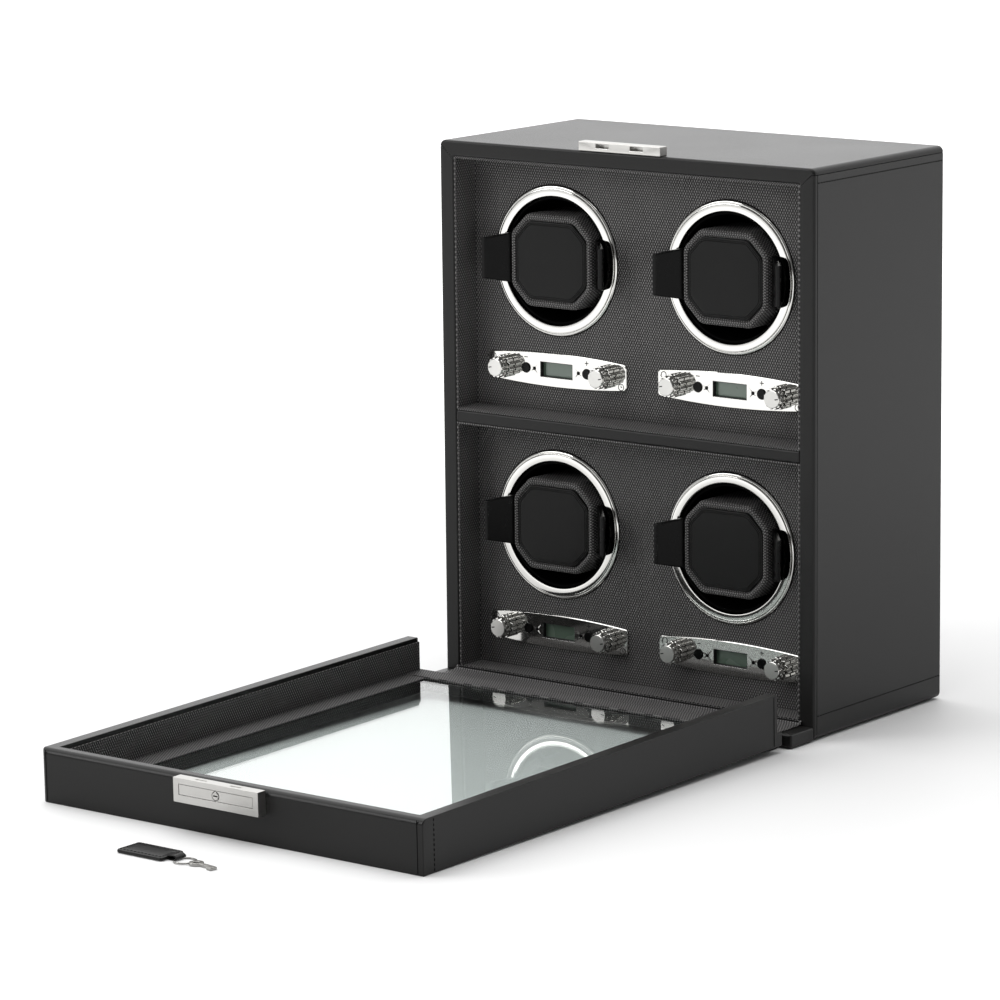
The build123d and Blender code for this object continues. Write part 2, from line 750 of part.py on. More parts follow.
with BuildPart() as key:
    with BuildSketch():
        with Locations((key_bow_x, key_bow_y)):
            Circle(key_bow_radius)
            Circle(key_hole_radius, mode=Mode.SUBTRACT)
    extrude(amount=key_thickness)
    with BuildSketch():
        key_turn = math.degrees(math.atan2(key_tip_y - key_bow_y, key_tip_x - key_bow_x))
        key_reach = math.hypot(key_tip_x - key_bow_x, key_tip_y - key_bow_y)
        with Locations(Location((key_bow_x, key_bow_y), key_turn)):
            with Locations(((key_reach + key_bow_radius - key_overlap) / 2, 0)):
                Rectangle(key_reach - key_bow_radius + key_overlap, 2 * key_shank_half)
            with Locations((key_reach - key_bit_length / 2, -key_shank_half - key_bit_width / 2)):
                Rectangle(key_bit_length, key_bit_width)
    extrude(amount=key_thickness)
save(key.part, "key")
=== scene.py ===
import json
import math

import bmesh
import bpy
from mathutils import Matrix, Vector


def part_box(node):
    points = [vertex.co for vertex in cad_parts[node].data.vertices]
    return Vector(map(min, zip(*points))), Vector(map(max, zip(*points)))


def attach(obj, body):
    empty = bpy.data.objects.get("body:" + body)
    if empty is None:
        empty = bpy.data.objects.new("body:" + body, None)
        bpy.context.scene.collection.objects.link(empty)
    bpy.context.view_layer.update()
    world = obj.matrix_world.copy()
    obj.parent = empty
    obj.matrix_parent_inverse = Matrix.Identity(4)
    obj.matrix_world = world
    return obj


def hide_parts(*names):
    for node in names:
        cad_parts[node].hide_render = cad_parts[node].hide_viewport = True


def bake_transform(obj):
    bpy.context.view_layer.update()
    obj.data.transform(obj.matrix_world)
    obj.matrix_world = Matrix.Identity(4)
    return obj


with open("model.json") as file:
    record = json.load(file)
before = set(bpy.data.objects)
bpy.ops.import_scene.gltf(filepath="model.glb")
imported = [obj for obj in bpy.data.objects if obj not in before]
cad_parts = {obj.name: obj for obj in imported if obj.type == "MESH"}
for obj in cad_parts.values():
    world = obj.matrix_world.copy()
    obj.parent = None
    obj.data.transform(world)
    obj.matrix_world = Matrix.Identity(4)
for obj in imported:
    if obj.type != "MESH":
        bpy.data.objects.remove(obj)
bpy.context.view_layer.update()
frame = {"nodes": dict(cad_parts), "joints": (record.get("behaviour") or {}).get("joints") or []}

mm = 0.001
nodes = frame["nodes"]
joints = {joint["name"]: joint for joint in frame["joints"]}
moduleNames = [f"{level}_{side}" for level in ("upper", "lower") for side in ("left", "right")]


# ---- places read from the frame

def boxOf(node):
    low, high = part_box(node)
    return Vector(low), Vector(high)


def centreOf(node):
    low, high = boxOf(node)
    return (low + high) / 2


shellLow, shellHigh = boxOf("cabinet_shell")
hingePoint = Vector(joints["door_hinge"]["pos_m"])
doorTilt = math.radians(joints["door_hinge"]["range_deg"][1] - 90)
panelFront = boxOf("face_panels")[0].y
boardFront = boxOf("lcd_modules")[0].y

# door coordinates: x along the hinge, v from the far end to the hinge, w out of the outer face
doorMatrix = Matrix.Translation(hingePoint) @ Matrix.Rotation(doorTilt, 4, "X")
doorInverse = doorMatrix.inverted()


def doorPoint(x, u, w):
    return doorMatrix @ Vector((x, -u, w))


def doorBoxOf(node):
    points = [doorInverse @ vertex.co for vertex in nodes[node].data.vertices]
    low = Vector([min(p[i] for p in points) for i in range(3)])
    high = Vector([max(p[i] for p in points) for i in range(3)])
    return low, high


# ---- shader maths

class Maths:
    def __init__(self, tree, socket):
        self.tree = tree
        self.socket = socket

    def join(self, operation, *others):
        sockets = [other.socket if isinstance(other, Maths) else other for other in others]
        return node(self.tree, "ShaderNodeMath", {"operation": operation}, self.socket, *sockets)

    def __add__(self, other):
        return self.join("ADD", other)

    def __mul__(self, other):
        return self.join("MULTIPLY", other)

    def __sub__(self, other):
        return self.join("SUBTRACT", other)

    def __truediv__(self, other):
        return self.join("DIVIDE", other)

    def __rsub__(self, other):
        return node(self.tree, "ShaderNodeMath", {"operation": "SUBTRACT"}, other, self.socket)

    def __pow__(self, other):
        return self.join("POWER", other)

    __radd__ = __add__
    __rmul__ = __mul__

    def fraction(self):
        return self.join("FRACT")

    def size(self):
        return self.join("ABSOLUTE")

    def wave(self):
        return self.join("SINE")

    def larger(self, other):
        return self.join("MAXIMUM", other)

    def step(self, low, high, first=0.0, last=1.0):
        settings = {"interpolation_type": "SMOOTHSTEP"}
        return node(self.tree, "ShaderNodeMapRange", settings, self.socket, low, high, first, last)


def node(tree, kind, settings=None, *values, output=0, **named):
    made = tree.nodes.new(kind)
    for name, value in (settings or {}).items():
        setattr(made, name, value)
    pairs = list(enumerate(values)) + [(key.replace("_", " "), value) for key, value in named.items()]
    for key, value in pairs:
        if value is None:
            continue
        value = value.socket if isinstance(value, Maths) else value
        if isinstance(value, bpy.types.NodeSocket):
            tree.links.new(value, made.inputs[key])
        else:
            made.inputs[key].default_value = value
    return Maths(tree, made.outputs[output])


def parts(vector, tree):
    split = tree.nodes.new("ShaderNodeSeparateXYZ")
    tree.links.new(vector.socket, split.inputs[0])
    return [Maths(tree, socket) for socket in split.outputs]


def mixColours(tree, factor, first, second):
    made = tree.nodes.new("ShaderNodeMix")
    made.data_type = "RGBA"
    tree.links.new(factor.socket, made.inputs[0])
    for key, value in ((6, first), (7, second)):
        if isinstance(value, Maths):
            tree.links.new(value.socket, made.inputs[key])
        else:
            made.inputs[key].default_value = (*value, 1.0)
    return Maths(tree, made.outputs[2])


def newMaterial(name):
    material = bpy.data.materials.new(name)
    material.use_nodes = True
    tree = material.node_tree
    shader = tree.nodes["Principled BSDF"]
    return material, tree, shader


def setShader(tree, shader, **values):
    for name, value in values.items():
        key = {"colour": "Base Color", "coat": "Coat Weight", "coatRoughness": "Coat Roughness",
               "sheen": "Sheen Weight", "sheenRoughness": "Sheen Roughness", "ior": "IOR",
               "metallic": "Metallic", "roughness": "Roughness", "normal": "Normal",
               "transmission": "Transmission Weight", "specular": "Specular IOR Level",
               "alpha": "Alpha"}[name]
        if isinstance(value, Maths):
            tree.links.new(value.socket, shader.inputs[key])
        elif key == "Base Color":
            shader.inputs[key].default_value = (*value, 1.0)
        else:
            shader.inputs[key].default_value = value


def objectPoint(tree, scale=(1, 1, 1)):
    coordinates = node(tree, "ShaderNodeTexCoord", None, output=3)
    if scale == (1, 1, 1):
        return coordinates
    return node(tree, "ShaderNodeMapping", None, coordinates, None, None, scale)


def noise(tree, point, scale, detail=3.0, roughness=0.5):
    return node(tree, "ShaderNodeTexNoise", None, Vector=point, Scale=scale, Detail=detail,
                Roughness=roughness)


def bump(tree, height, strength, distance):
    return node(tree, "ShaderNodeBump", None, Strength=strength, Distance=distance, Height=height)


def leatherMaterial(name, colour, wornColour, grainSize, roughness, grainDepth, specular):
    material, tree, shader = newMaterial(name)
    point = objectPoint(tree)
    cells = node(tree, "ShaderNodeTexVoronoi", {"feature": "DISTANCE_TO_EDGE"}, Vector=point,
                 Scale=1 / grainSize, Randomness=0.9)
    pores = noise(tree, point, 1.6 / grainSize, 4.0, 0.6)
    folds = noise(tree, point, 28.0, 3.0, 0.55)
    patches = noise(tree, point, 9.0, 2.0)
    grain = cells.step(0.0, 0.16) * 0.7 + pores * 0.3 + folds * 0.35
    shade = (patches * 0.6 + pores * 0.4).step(0.3, 0.7)
    setShader(tree, shader,
              colour=mixColours(tree, shade, colour, wornColour),
              roughness=(pores * 0.10 + patches * 0.10 + (roughness - 0.10)),
              normal=bump(tree, grain, 0.4, grainDepth),
              specular=specular)
    return material


def textileMaterial(name, weave):
    material, tree, shader = newMaterial(name)
    cloth = node(tree, "ShaderNodeUVMap", {"uv_map": "weave"})
    across, along, _ = parts(cloth, tree)
    first = across / weave["diamondWidth"] + along / weave["diamondHeight"]
    second = across / weave["diamondWidth"] - along / weave["diamondHeight"]
    awayFirst = (first.fraction() - 0.5).size() * 2
    awaySecond = (second.fraction() - 0.5).size() * 2
    edge = awayFirst.larger(awaySecond)
    mound = 1 - edge.step(0.15, 0.95)
    threads = (across * (2 * math.pi / weave["threadPitch"])).wave() * 0.5 + 0.5
    point = objectPoint(tree)
    fluff = noise(tree, point, 2600.0, 2.0)
    patches = noise(tree, point, 14.0, 2.0)
    height = mound + threads * 0.12 + fluff * 0.15
    # colour runs from painted shade in the valleys to the cloth's own tone plus painted highlight on the
    # mounds, following the mound height
    shade = mound * 0.95 + fluff * 0.15 + patches * 0.12 - 0.12
    setShader(tree, shader,
              colour=mixColours(tree, shade.step(0.0, 1.0), weave["valleyPaintedShade"], weave["moundToneAndPaintedHighlight"]),
              roughness=(0.62 - mound * 0.2 + fluff * 0.08),
              normal=bump(tree, height, 0.9, weave["relief"]),
              specular=0.26, sheen=0.05, sheenRoughness=0.4)
    return material


def metalMaterial(name, colour, roughness, brushed=0.0):
    material, tree, shader = newMaterial(name)
    point = objectPoint(tree)
    smear = noise(tree, point, 70.0, 3.0)
    fine = noise(tree, objectPoint(tree, (220.0, 6000.0, 6000.0)), 1.0, 2.0)
    setShader(tree, shader,
              colour=mixColours(tree, smear.step(0.3, 0.7), colour, [c * 0.96 for c in colour]),
              metallic=1.0,
              roughness=(smear * 0.04 + fine * brushed * 0.25 + roughness))
    if brushed:
        setShader(tree, shader, normal=bump(tree, fine, brushed * 0.3, 0.00002))
    return material


def plasticMaterial(name, colour, roughness, texture=0.0, specular=0.5):
    material, tree, shader = newMaterial(name)
    point = objectPoint(tree)
    mottled = noise(tree, point, 120.0, 3.0)
    spark = noise(tree, point, 3200.0, 2.0)
    setShader(tree, shader,
              colour=mixColours(tree, mottled, colour, [c * 1.25 for c in colour]),
              roughness=(mottled * 0.08 + spark * texture * 0.2 + roughness - 0.04),
              normal=bump(tree, spark * texture + mottled * 0.1, 0.35, 0.00005),
              specular=specular)
    return material


def glassMaterial(name):
    material, tree, shader = newMaterial(name)
    smear = noise(tree, objectPoint(tree), 16.0, 3.0)
    setShader(tree, shader, colour=(0.86, 0.9, 0.885), roughness=smear * 0.01, transmission=1.0, ior=1.5)
    clear = node(tree, "ShaderNodeBsdfTransparent", None, (0.9, 0.925, 0.918, 1.0))
    rays = tree.nodes.new("ShaderNodeLightPath")
    either = Maths(tree, rays.outputs["Is Shadow Ray"]).larger(Maths(tree, rays.outputs["Is Diffuse Ray"]))
    mix = tree.nodes.new("ShaderNodeMixShader")
    tree.links.new(either.socket, mix.inputs[0])
    tree.links.new(shader.outputs[0], mix.inputs[1])
    tree.links.new(clear.socket, mix.inputs[2])
    tree.links.new(mix.outputs[0], tree.nodes["Material Output"].inputs["Surface"])
    return material


def displayMaterial(name):
    material, tree, shader = newMaterial(name)
    point = objectPoint(tree)
    glow = noise(tree, point, 40.0, 2.0)
    grid = (parts(point, tree)[0] * (2 * math.pi / 0.0006)).wave() * 0.5 + 0.5
    setShader(tree, shader,
              colour=mixColours(tree, (glow * 0.6 + grid * 0.4).step(0.2, 0.9), (0.07, 0.105, 0.078),
                                (0.10, 0.145, 0.108)),
              roughness=glow * 0.1 + 0.22, coat=0.6, coatRoughness=0.04)
    return material


def feltMaterial(name, colour):
    material, tree, shader = newMaterial(name)
    fibres = noise(tree, objectPoint(tree), 1500.0, 4.0, 0.7)
    setShader(tree, shader, colour=mixColours(tree, fibres, colour, [c * 2.2 for c in colour]),
              roughness=fibres * 0.2 + 0.8, normal=bump(tree, fibres, 0.8, 0.0003), sheen=0.4)
    return material


weave = {
    "diamondWidth": 1.9 * mm,
    "diamondHeight": 3.4 * mm,
    "threadPitch": 0.48 * mm,
    "relief": 0.35 * mm,
    # the valley colour is painted shade in the weave's recesses; the mound colour is the cloth's own tone
    # plus painted highlight on the raised mounds
    "valleyPaintedShade": (0.014, 0.0135, 0.0135),
    "moundToneAndPaintedHighlight": (0.215, 0.209, 0.207),
}
leather = leatherMaterial("wrapLeather", (0.0065, 0.0064, 0.0062), (0.010, 0.0098, 0.0095),
                          0.85 * mm, 0.31, 0.05 * mm, 0.22)
padLeather = leatherMaterial("padLeather", (0.0035, 0.0035, 0.0033), (0.006, 0.006, 0.0058),
                             0.6 * mm, 0.42, 0.04 * mm, 0.16)
textile = textileMaterial("latticeTextile", weave)
chrome = metalMaterial("polishedChrome", (0.60, 0.595, 0.575), 0.045)
satinChrome = metalMaterial("satinChrome", (0.60, 0.595, 0.575), 0.28, brushed=0.3)
nickel = metalMaterial("satinNickel", (0.50, 0.493, 0.475), 0.24, brushed=0.5)
keyMetal = metalMaterial("keyMetal", (0.30, 0.295, 0.285), 0.2, brushed=0.2)
steel = metalMaterial("platedSteel", (0.5, 0.5, 0.49), 0.32, brushed=0.2)
glass = glassMaterial("clearGlass")
display = displayMaterial("liquidCrystal")
blackGloss = plasticMaterial("glossBlack", (0.0015, 0.0015, 0.0015), 0.28, specular=0.12)
drumBlack = plasticMaterial("drumBlack", (0.0012, 0.0012, 0.0012), 0.75, texture=0.5, specular=0.04)
blackMatte = plasticMaterial("mattBlack", (0.006, 0.006, 0.006), 0.55, texture=0.8)
boardGreen = plasticMaterial("boardGreen", (0.02, 0.12, 0.05), 0.4, texture=0.2)
markBlack = plasticMaterial("printedBlack", (0.01, 0.01, 0.01), 0.5, texture=0.3, specular=0.2)
thread = plasticMaterial("waxedThread", (0.0015, 0.0015, 0.0015), 0.6, texture=0.6, specular=0.1)
felt = feltMaterial("blackFelt", (0.012, 0.012, 0.012))
# black edge paint for leather creases and seams, also used for the painted shadow line round the bezel rings
edgePaintAndPaintedShadow = plasticMaterial("edgePaintAndPaintedShadow", (0.0015, 0.0015, 0.0015), 0.7, texture=0.5, specular=0.1)
print("materials ready")


# ---- mesh helpers

def newObject(name, mesh, material):
    made = bpy.data.objects.new(name, mesh)
    bpy.context.scene.collection.objects.link(made)
    mesh.materials.clear()
    mesh.materials.append(material)
    return made


def fromBmesh(name, bm, material, smooth=True):
    bmesh.ops.recalc_face_normals(bm, faces=bm.faces)
    mesh = bpy.data.meshes.new(name)
    bm.to_mesh(mesh)
    bm.free()
    made = newObject(name, mesh, material)
    if smooth:
        shadeSmooth(made)
    return made


def shadeSmooth(made, angle=35.0, weighted=True, square=None):
    made.data.shade_smooth()
    if square:
        turn = square.to_3x3()
        for polygon in made.data.polygons:
            polygon.use_smooth = max(abs(part) for part in turn @ polygon.normal) < 0.99999
    made.data.set_sharp_from_angle(angle=math.radians(angle))
    if weighted:
        modifier = made.modifiers.new("weighted", "WEIGHTED_NORMAL")
        modifier.keep_sharp = True
        modifier.weight = 100
        bake(made)


def bake(made):
    bpy.context.view_layer.update()
    evaluated = made.evaluated_get(bpy.context.evaluated_depsgraph_get())
    mesh = bpy.data.meshes.new_from_object(evaluated)
    made.modifiers.clear()
    old = made.data
    made.data = mesh
    mesh.name = made.name
    bpy.data.meshes.remove(old)


def finish(made, body, slot, *replaced):
    if body:
        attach(made, body)
    if replaced:
        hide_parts(*replaced)
    return made


def refined(node, name, material, bevel, segments=2, square=Matrix.Identity(4)):
    bm = bmesh.new()
    bm.from_mesh(nodes[node].data)
    bmesh.ops.remove_doubles(bm, verts=bm.verts, dist=2e-6)
    bmesh.ops.dissolve_limit(bm, angle_limit=math.radians(0.6), verts=bm.verts, edges=bm.edges)
    if bevel:
        sharp = [e for e in bm.edges if len(e.link_faces) == 2
                 and e.calc_face_angle(0) > math.radians(30)]
        bmesh.ops.bevel(bm, geom=sharp, offset=bevel, segments=segments, profile=0.5,
                        affect="EDGES", clamp_overlap=True)
    bmesh.ops.triangulate(bm, faces=[f for f in bm.faces if len(f.verts) > 4])
    made = fromBmesh(name, bm, material, smooth=False)
    shadeSmooth(made, square=square)
    return made


def weaveMap(made, toFlat=None):
    mesh = made.data
    layer = mesh.uv_layers.get("weave") or mesh.uv_layers.new(name="weave")
    flat = toFlat or Matrix.Identity(4)
    turn = flat.to_3x3()
    for polygon in mesh.polygons:
        normal = turn @ polygon.normal
        axis = max(range(3), key=lambda i: abs(normal[i]))
        first, second = ((1, 2), (0, 2), (0, 1))[axis]
        for loop in polygon.loop_indices:
            point = flat @ mesh.vertices[mesh.loops[loop].vertex_index].co
            layer.data[loop].uv = (point[first], point[second])
    return made


def loft(name, loops, material, closedAcross=True, smooth=True, uvs=None):
    bm = bmesh.new()
    rows = [[bm.verts.new(point) for point in loop] for loop in loops]
    layer = bm.loops.layers.uv.new("weave") if uvs else None
    rowCount = len(rows) if closedAcross else len(rows) - 1
    for r in range(rowCount):
        current, following = rows[r], rows[(r + 1) % len(rows)]
        for i in range(len(current)):
            j = (i + 1) % len(current)
            face = bm.faces.new((current[i], current[j], following[j], following[i]))
            if uvs:
                alongs = (i, i + 1, i + 1, i)
                levels = (r, r, r + 1, r + 1)
                for corner, along, level in zip(face.loops, alongs, levels):
                    corner[layer].uv = uvs(along, level)
    return fromBmesh(name, bm, material, smooth)


def circleLoop(centre, radius, y, count):
    return [Vector((centre.x + radius * math.cos(2 * math.pi * i / count), y,
                    centre.z + radius * math.sin(2 * math.pi * i / count))) for i in range(count)]


# ---- geometry trees

def newTree(name, sizes):
    tree = bpy.data.node_groups.new(name, "GeometryNodeTree")
    tree.interface.new_socket("Geometry", in_out="INPUT", socket_type="NodeSocketGeometry")
    for label, value in sizes.items():
        kind = "NodeSocketInt" if isinstance(value, int) else "NodeSocketFloat"
        socket = tree.interface.new_socket(label, in_out="INPUT", socket_type=kind)
        socket.default_value = value
    tree.interface.new_socket("Material", in_out="INPUT", socket_type="NodeSocketMaterial")
    tree.interface.new_socket("Geometry", in_out="OUTPUT", socket_type="NodeSocketGeometry")
    source = tree.nodes.new("NodeGroupInput")
    target = tree.nodes.new("NodeGroupOutput")
    return tree, source, target


def geo(tree, kind, settings=None, **links):
    made = tree.nodes.new(kind)
    for name, value in (settings or {}).items():
        setattr(made, name, value)
    for key, value in links.items():
        key = int(key[1:]) if key[0] == "n" and key[1:].isdigit() else key.replace("_", " ")
        if isinstance(value, bpy.types.NodeSocket):
            tree.links.new(value, made.inputs[key])
        else:
            made.inputs[key].default_value = value
    return made


def closeTree(tree, source, target, geometry):
    real = geo(tree, "GeometryNodeRealizeInstances", None, Geometry=geometry)
    painted = geo(tree, "GeometryNodeSetMaterial", None, Geometry=real.outputs[0],
                  Material=source.outputs["Material"])
    tree.links.new(painted.outputs[0], target.inputs[0])


def runTree(tree, name, mesh, material, sizes):
    made = bpy.data.objects.new(name, mesh)
    bpy.context.scene.collection.objects.link(made)
    modifier = made.modifiers.new("shape", "NODES")
    modifier.node_group = tree
    for item in tree.interface.items_tree:
        if item.item_type == "SOCKET" and item.in_out == "INPUT":
            if item.name in sizes:
                modifier[item.identifier] = sizes[item.name]
            elif item.name == "Material":
                modifier[item.identifier] = material
    bake(made)
    made.data.materials.clear()
    made.data.materials.append(material)
    return made


def lineMesh(name, paths):
    mesh = bpy.data.meshes.new(name)
    points, edges = [], []
    for path in paths:
        start = len(points)
        points += [tuple(p) for p in path]
        edges += [(start + i, start + i + 1) for i in range(len(path) - 1)]
    mesh.from_pydata(points, edges, [])
    return mesh


def stitchTree():
    sizes = {"Stitch Length": 0.0022, "Thread Radius": 0.0003, "Pitch": 0.0034}
    tree, source, target = newTree("stitchRun", sizes)
    curve = geo(tree, "GeometryNodeMeshToCurve", None, Mesh=source.outputs["Geometry"])
    points = geo(tree, "GeometryNodeCurveToPoints", {"mode": "LENGTH"}, Curve=curve.outputs[0],
                 Length=source.outputs["Pitch"])
    turn = geo(tree, "FunctionNodeAlignRotationToVector", {"axis": "Z"}, Vector=points.outputs["Tangent"])
    ball = geo(tree, "GeometryNodeMeshUVSphere", None, Segments=8, Rings=5, Radius=0.5)
    half = geo(tree, "ShaderNodeMath", {"operation": "MULTIPLY"}, n0=source.outputs["Thread Radius"], n1=2.0)
    size = geo(tree, "ShaderNodeCombineXYZ", None, X=half.outputs[0], Y=half.outputs[0],
               Z=source.outputs["Stitch Length"])
    spread = geo(tree, "GeometryNodeInstanceOnPoints", None, Points=points.outputs[0],
                 Instance=ball.outputs[0], Rotation=turn.outputs[0], Scale=size.outputs[0])
    smooth = geo(tree, "GeometryNodeSetShadeSmooth", None, Geometry=spread.outputs[0])
    closeTree(tree, source, target, smooth.outputs[0])
    return tree


stitchRun = stitchTree()


def stitches(name, paths, body, slot, sizes):
    made = runTree(stitchRun, name, lineMesh(name, paths), thread, sizes)
    return finish(made, body, slot)


def tubeTree():
    sizes = {"Radius": 0.0004, "Sides": 8}
    tree, source, target = newTree("roundBead", sizes)
    curve = geo(tree, "GeometryNodeMeshToCurve", None, Mesh=source.outputs["Geometry"])
    ring = geo(tree, "GeometryNodeCurvePrimitiveCircle", None, Resolution=source.outputs["Sides"],
               Radius=source.outputs["Radius"])
    skin = geo(tree, "GeometryNodeCurveToMesh", None, Curve=curve.outputs[0], Profile_Curve=ring.outputs[0],
               Fill_Caps=True)
    smooth = geo(tree, "GeometryNodeSetShadeSmooth", None, Geometry=skin.outputs[0])
    closeTree(tree, source, target, smooth.outputs[0])
    return tree


roundBead = tubeTree()


def beads(name, paths, radius, body, slot, material):
    made = runTree(roundBead, name, lineMesh(name, paths), material, {"Radius": radius})
    return finish(made, body, slot)


print("trees ready")


# ---- cabinet shell

shellShape = {
    "cornerRadius": 4.0 * mm,
    "cornerSteps": 6,
    "frontRound": 1.6 * mm,
    "openingRound": 1.2 * mm,
    "grooveDepth": 0.9 * mm,
    "grooveHalf": 0.35 * mm,
    "grooveBelowTop": 4.1 * mm,
    "frontGroove": 1.9 * mm,
    "stitchFromTop": 9.2 * mm,
    "stitchFromBase": 15.8 * mm,
}


def shellLoop(y, inset, sideNotch=0.0, opening=False):
    s = shellShape
    if opening:
        low = Vector((boxOf("liner_trays")[0].x - inset, 0, boxOf("liner_trays")[0].z - inset))
        high = Vector((boxOf("liner_trays")[1].x + inset, 0, boxOf("liner_trays")[1].z + inset))
        radius = 0.6 * mm + inset
        depth = 0.0
    else:
        low = shellLow + Vector((inset, 0, inset))
        high = shellHigh - Vector((inset, 0, inset))
        radius = max(s["cornerRadius"] - inset, 0.3 * mm)
        depth = s["grooveDepth"]
    points = []
    corners = ((high.x, high.z, 0), (low.x, high.z, 90), (low.x, low.z, 180), (high.x, low.z, 270))
    for x, z, start in corners:
        centreX = x - math.copysign(radius, x)
        centreZ = z - radius if start < 180 else z + radius
        arc = []
        for step in range(s["cornerSteps"] + 1):
            angle = math.radians(start + 90 * step / s["cornerSteps"])
            arc.append((centreX + radius * math.cos(angle), centreZ + radius * math.sin(angle)))
        if start < 180:  # the groove below each top edge
            side = math.copysign(1.0, x)
            grooveZ = shellHigh.z - s["grooveBelowTop"]
            if opening:
                grooveZ = high.z - radius - 2 * s["grooveHalf"]
            groove = [(x, grooveZ - s["grooveHalf"]), (x - side * depth, grooveZ),
                      (x, grooveZ + s["grooveHalf"])]
            arc = groove + arc if start == 0 else arc + groove[::-1]
        points += arc
    loop = []
    for x, z in points:
        if sideNotch and abs(abs(x) - high.x) < 1e-6:
            x -= math.copysign(sideNotch, x)
        loop.append(Vector((x, y, z)))
    return loop


def roundedSteps(radius):
    angles = [math.pi / 8 * i for i in range(5)]
    return [(radius * (1 - math.sin(angle)), radius * (1 - math.cos(angle))) for angle in angles]


def makeShell():
    s = shellShape
    front, back = shellLow.y, shellHigh.y
    loops = [shellLoop(boxOf("back_cover")[0].y, 0.0, opening=True)]
    for out, forward in roundedSteps(s["openingRound"])[::-1]:  # inner lip of the opening
        loops.append(shellLoop(front + out, forward, opening=True))
    loops = loops[:1] + sorted(loops[1:], key=lambda loop: -loop[0].y)
    for inward, rearward in roundedSteps(s["frontRound"]):
        loops.append(shellLoop(front + rearward, inward))
    groove = front + s["frontGroove"] + s["frontRound"]
    for across, notch in ((-1, 0), (0, s["grooveDepth"]), (1, 0)):
        loops.append(shellLoop(groove + across * s["grooveHalf"], 0.0, notch))
    for inward, rearward in roundedSteps(s["frontRound"])[::-1]:
        loops.append(shellLoop(back - rearward, inward))
    loops.append(shellLoop(back, 0.0, opening=True))
    return loft("cabinetLeather", loops, leather)


shell = makeShell()
finish(shell, "cabinet", "black_leather", "cabinet_shell")

stitchX = shellHigh.x + 0.05 * mm
stitchRows = [shellHigh.z - shellShape["stitchFromTop"], shellShape["stitchFromBase"]]
stitches("cabinetSideStitches",
         [[(side * stitchX, shellLow.y + 5 * mm, z), (side * stitchX, shellHigh.y - 3 * mm, z)]
          for side in (-1, 1) for z in stitchRows],
         "cabinet", "black_leather", {"Stitch Length": 0.002, "Thread Radius": 0.00042, "Pitch": 0.0029})
print("cabinet shell ready")


# ---- boards, liners and the sill

def plainRefined():
    table = [
        ("shelf_divider", "shelfLeather", leather, 1.1 * mm, 3, "black_leather"),
        ("front_sill", "sillLeather", leather, 1.3 * mm, 3, "black_leather"),
    ]
    for source, name, material, bevel, segments, slot in table:
        finish(refined(source, name, material, bevel, segments), "cabinet", slot, source)


plainRefined()
liner = weaveMap(refined("liner_trays", "linerTextile", textile, 0.45 * mm, 2))
finish(liner, "cabinet", "embossed_textile", "liner_trays")
panels = weaveMap(refined("face_panels", "facePanelTextile", textile, 0.0))
finish(panels, "cabinet", "embossed_textile", "face_panels")
print("boards ready")


# ---- bezel rings

ringShape = {
    "steps": 160,
    "profile": [(0.0, 0.45), (0.015, 0.76), (0.05, 0.93), (0.2, 0.99), (0.4, 1.0), (0.6, 0.98), (0.69, 0.93),
                (0.715, 0.84), (0.735, 0.5), (0.765, 0.5), (0.785, 0.7), (0.83, 0.74), (0.9, 0.66),
                (0.95, 0.52), (0.985, 0.4), (1.0, 0.3), (1.0, 0.0)],
    "seatWidth": 1.5 * mm,
    "outline": 0.4 * mm,
}


def ringSizes():
    low, high = boxOf("bezel_rings")
    outer = high.x - abs(centreOf("drum_upper_right").x)
    drumLow, drumHigh = boxOf("drum_upper_right")
    return outer, (drumHigh.x - drumLow.x) / 2 + 0.6 * mm, low.y, high.y


def makeRing(place):
    centre = centreOf(f"drum_{place}")
    outer, inner, face, back = ringSizes()
    steps = ringShape["steps"]
    loops = [circleLoop(centre, inner, back, steps)]
    for out, proud in ringShape["profile"]:
        radius = inner + (outer - inner) * out
        loops.append(circleLoop(centre, radius, panelFront - (panelFront - face) * proud, steps))
    loops.append(circleLoop(centre, inner + ringShape["seatWidth"], panelFront, steps))
    loops.append(circleLoop(centre, inner + ringShape["seatWidth"], back, steps))
    return loft(f"bezelRing_{place}", loops, chrome)


for place in moduleNames:
    ring = makeRing(place)
    finish(ring, "cabinet", "polished_chrome", "bezel_rings")
# a thin black bead round each ring is painted shadow: the dark line where the ring meets the panel
outlines = []
for place in moduleNames:
    centre = centreOf(f"drum_{place}")
    outline = circleLoop(centre, ringSizes()[0] + 0.1 * mm, panelFront - 0.1 * mm, ringShape["steps"])
    outlines.append(outline + [outline[0]])
beads("ringShadowLines", outlines, ringShape["outline"], "cabinet", "black_matte", edgePaintAndPaintedShadow)
print("rings ready")


# ---- cuffs

cuffShape = {
    "cornerRound": 8.0 * mm,
    "edgeSteps": 5,
    "arcSteps": 6,
    "cut": 13.0 * mm,
    "padCut": 11.2 * mm,
    "rimProfile": [(4.1, 1.6), (3.8, 0.8), (3.4, 0.25), (2.8, 0.02), (2.2, 0.0), (1.6, 0.15), (0.95, 0.5),
                   (0.45, 1.1), (0.12, 2.0), (0.0, 3.2)],
    "padHeight": 1.8 * mm,
    "padProfile": [(0.0, 0.0), (0.12, 0.55), (0.4, 0.8), (0.9, 0.88), (1.15, 0.76), (1.35, 0.76), (1.6, 0.89),
                   (2.0, 0.91), (2.25, 0.79), (2.45, 0.79), (2.7, 0.93), (4.2, 1.0), (9.0, 1.08),
                   (15.0, 1.13), (20.0, 1.15)],
    "ribCount": 6,
    "ribRadius": 0.45 * mm,
    "ribLength": 5.5 * mm,
}


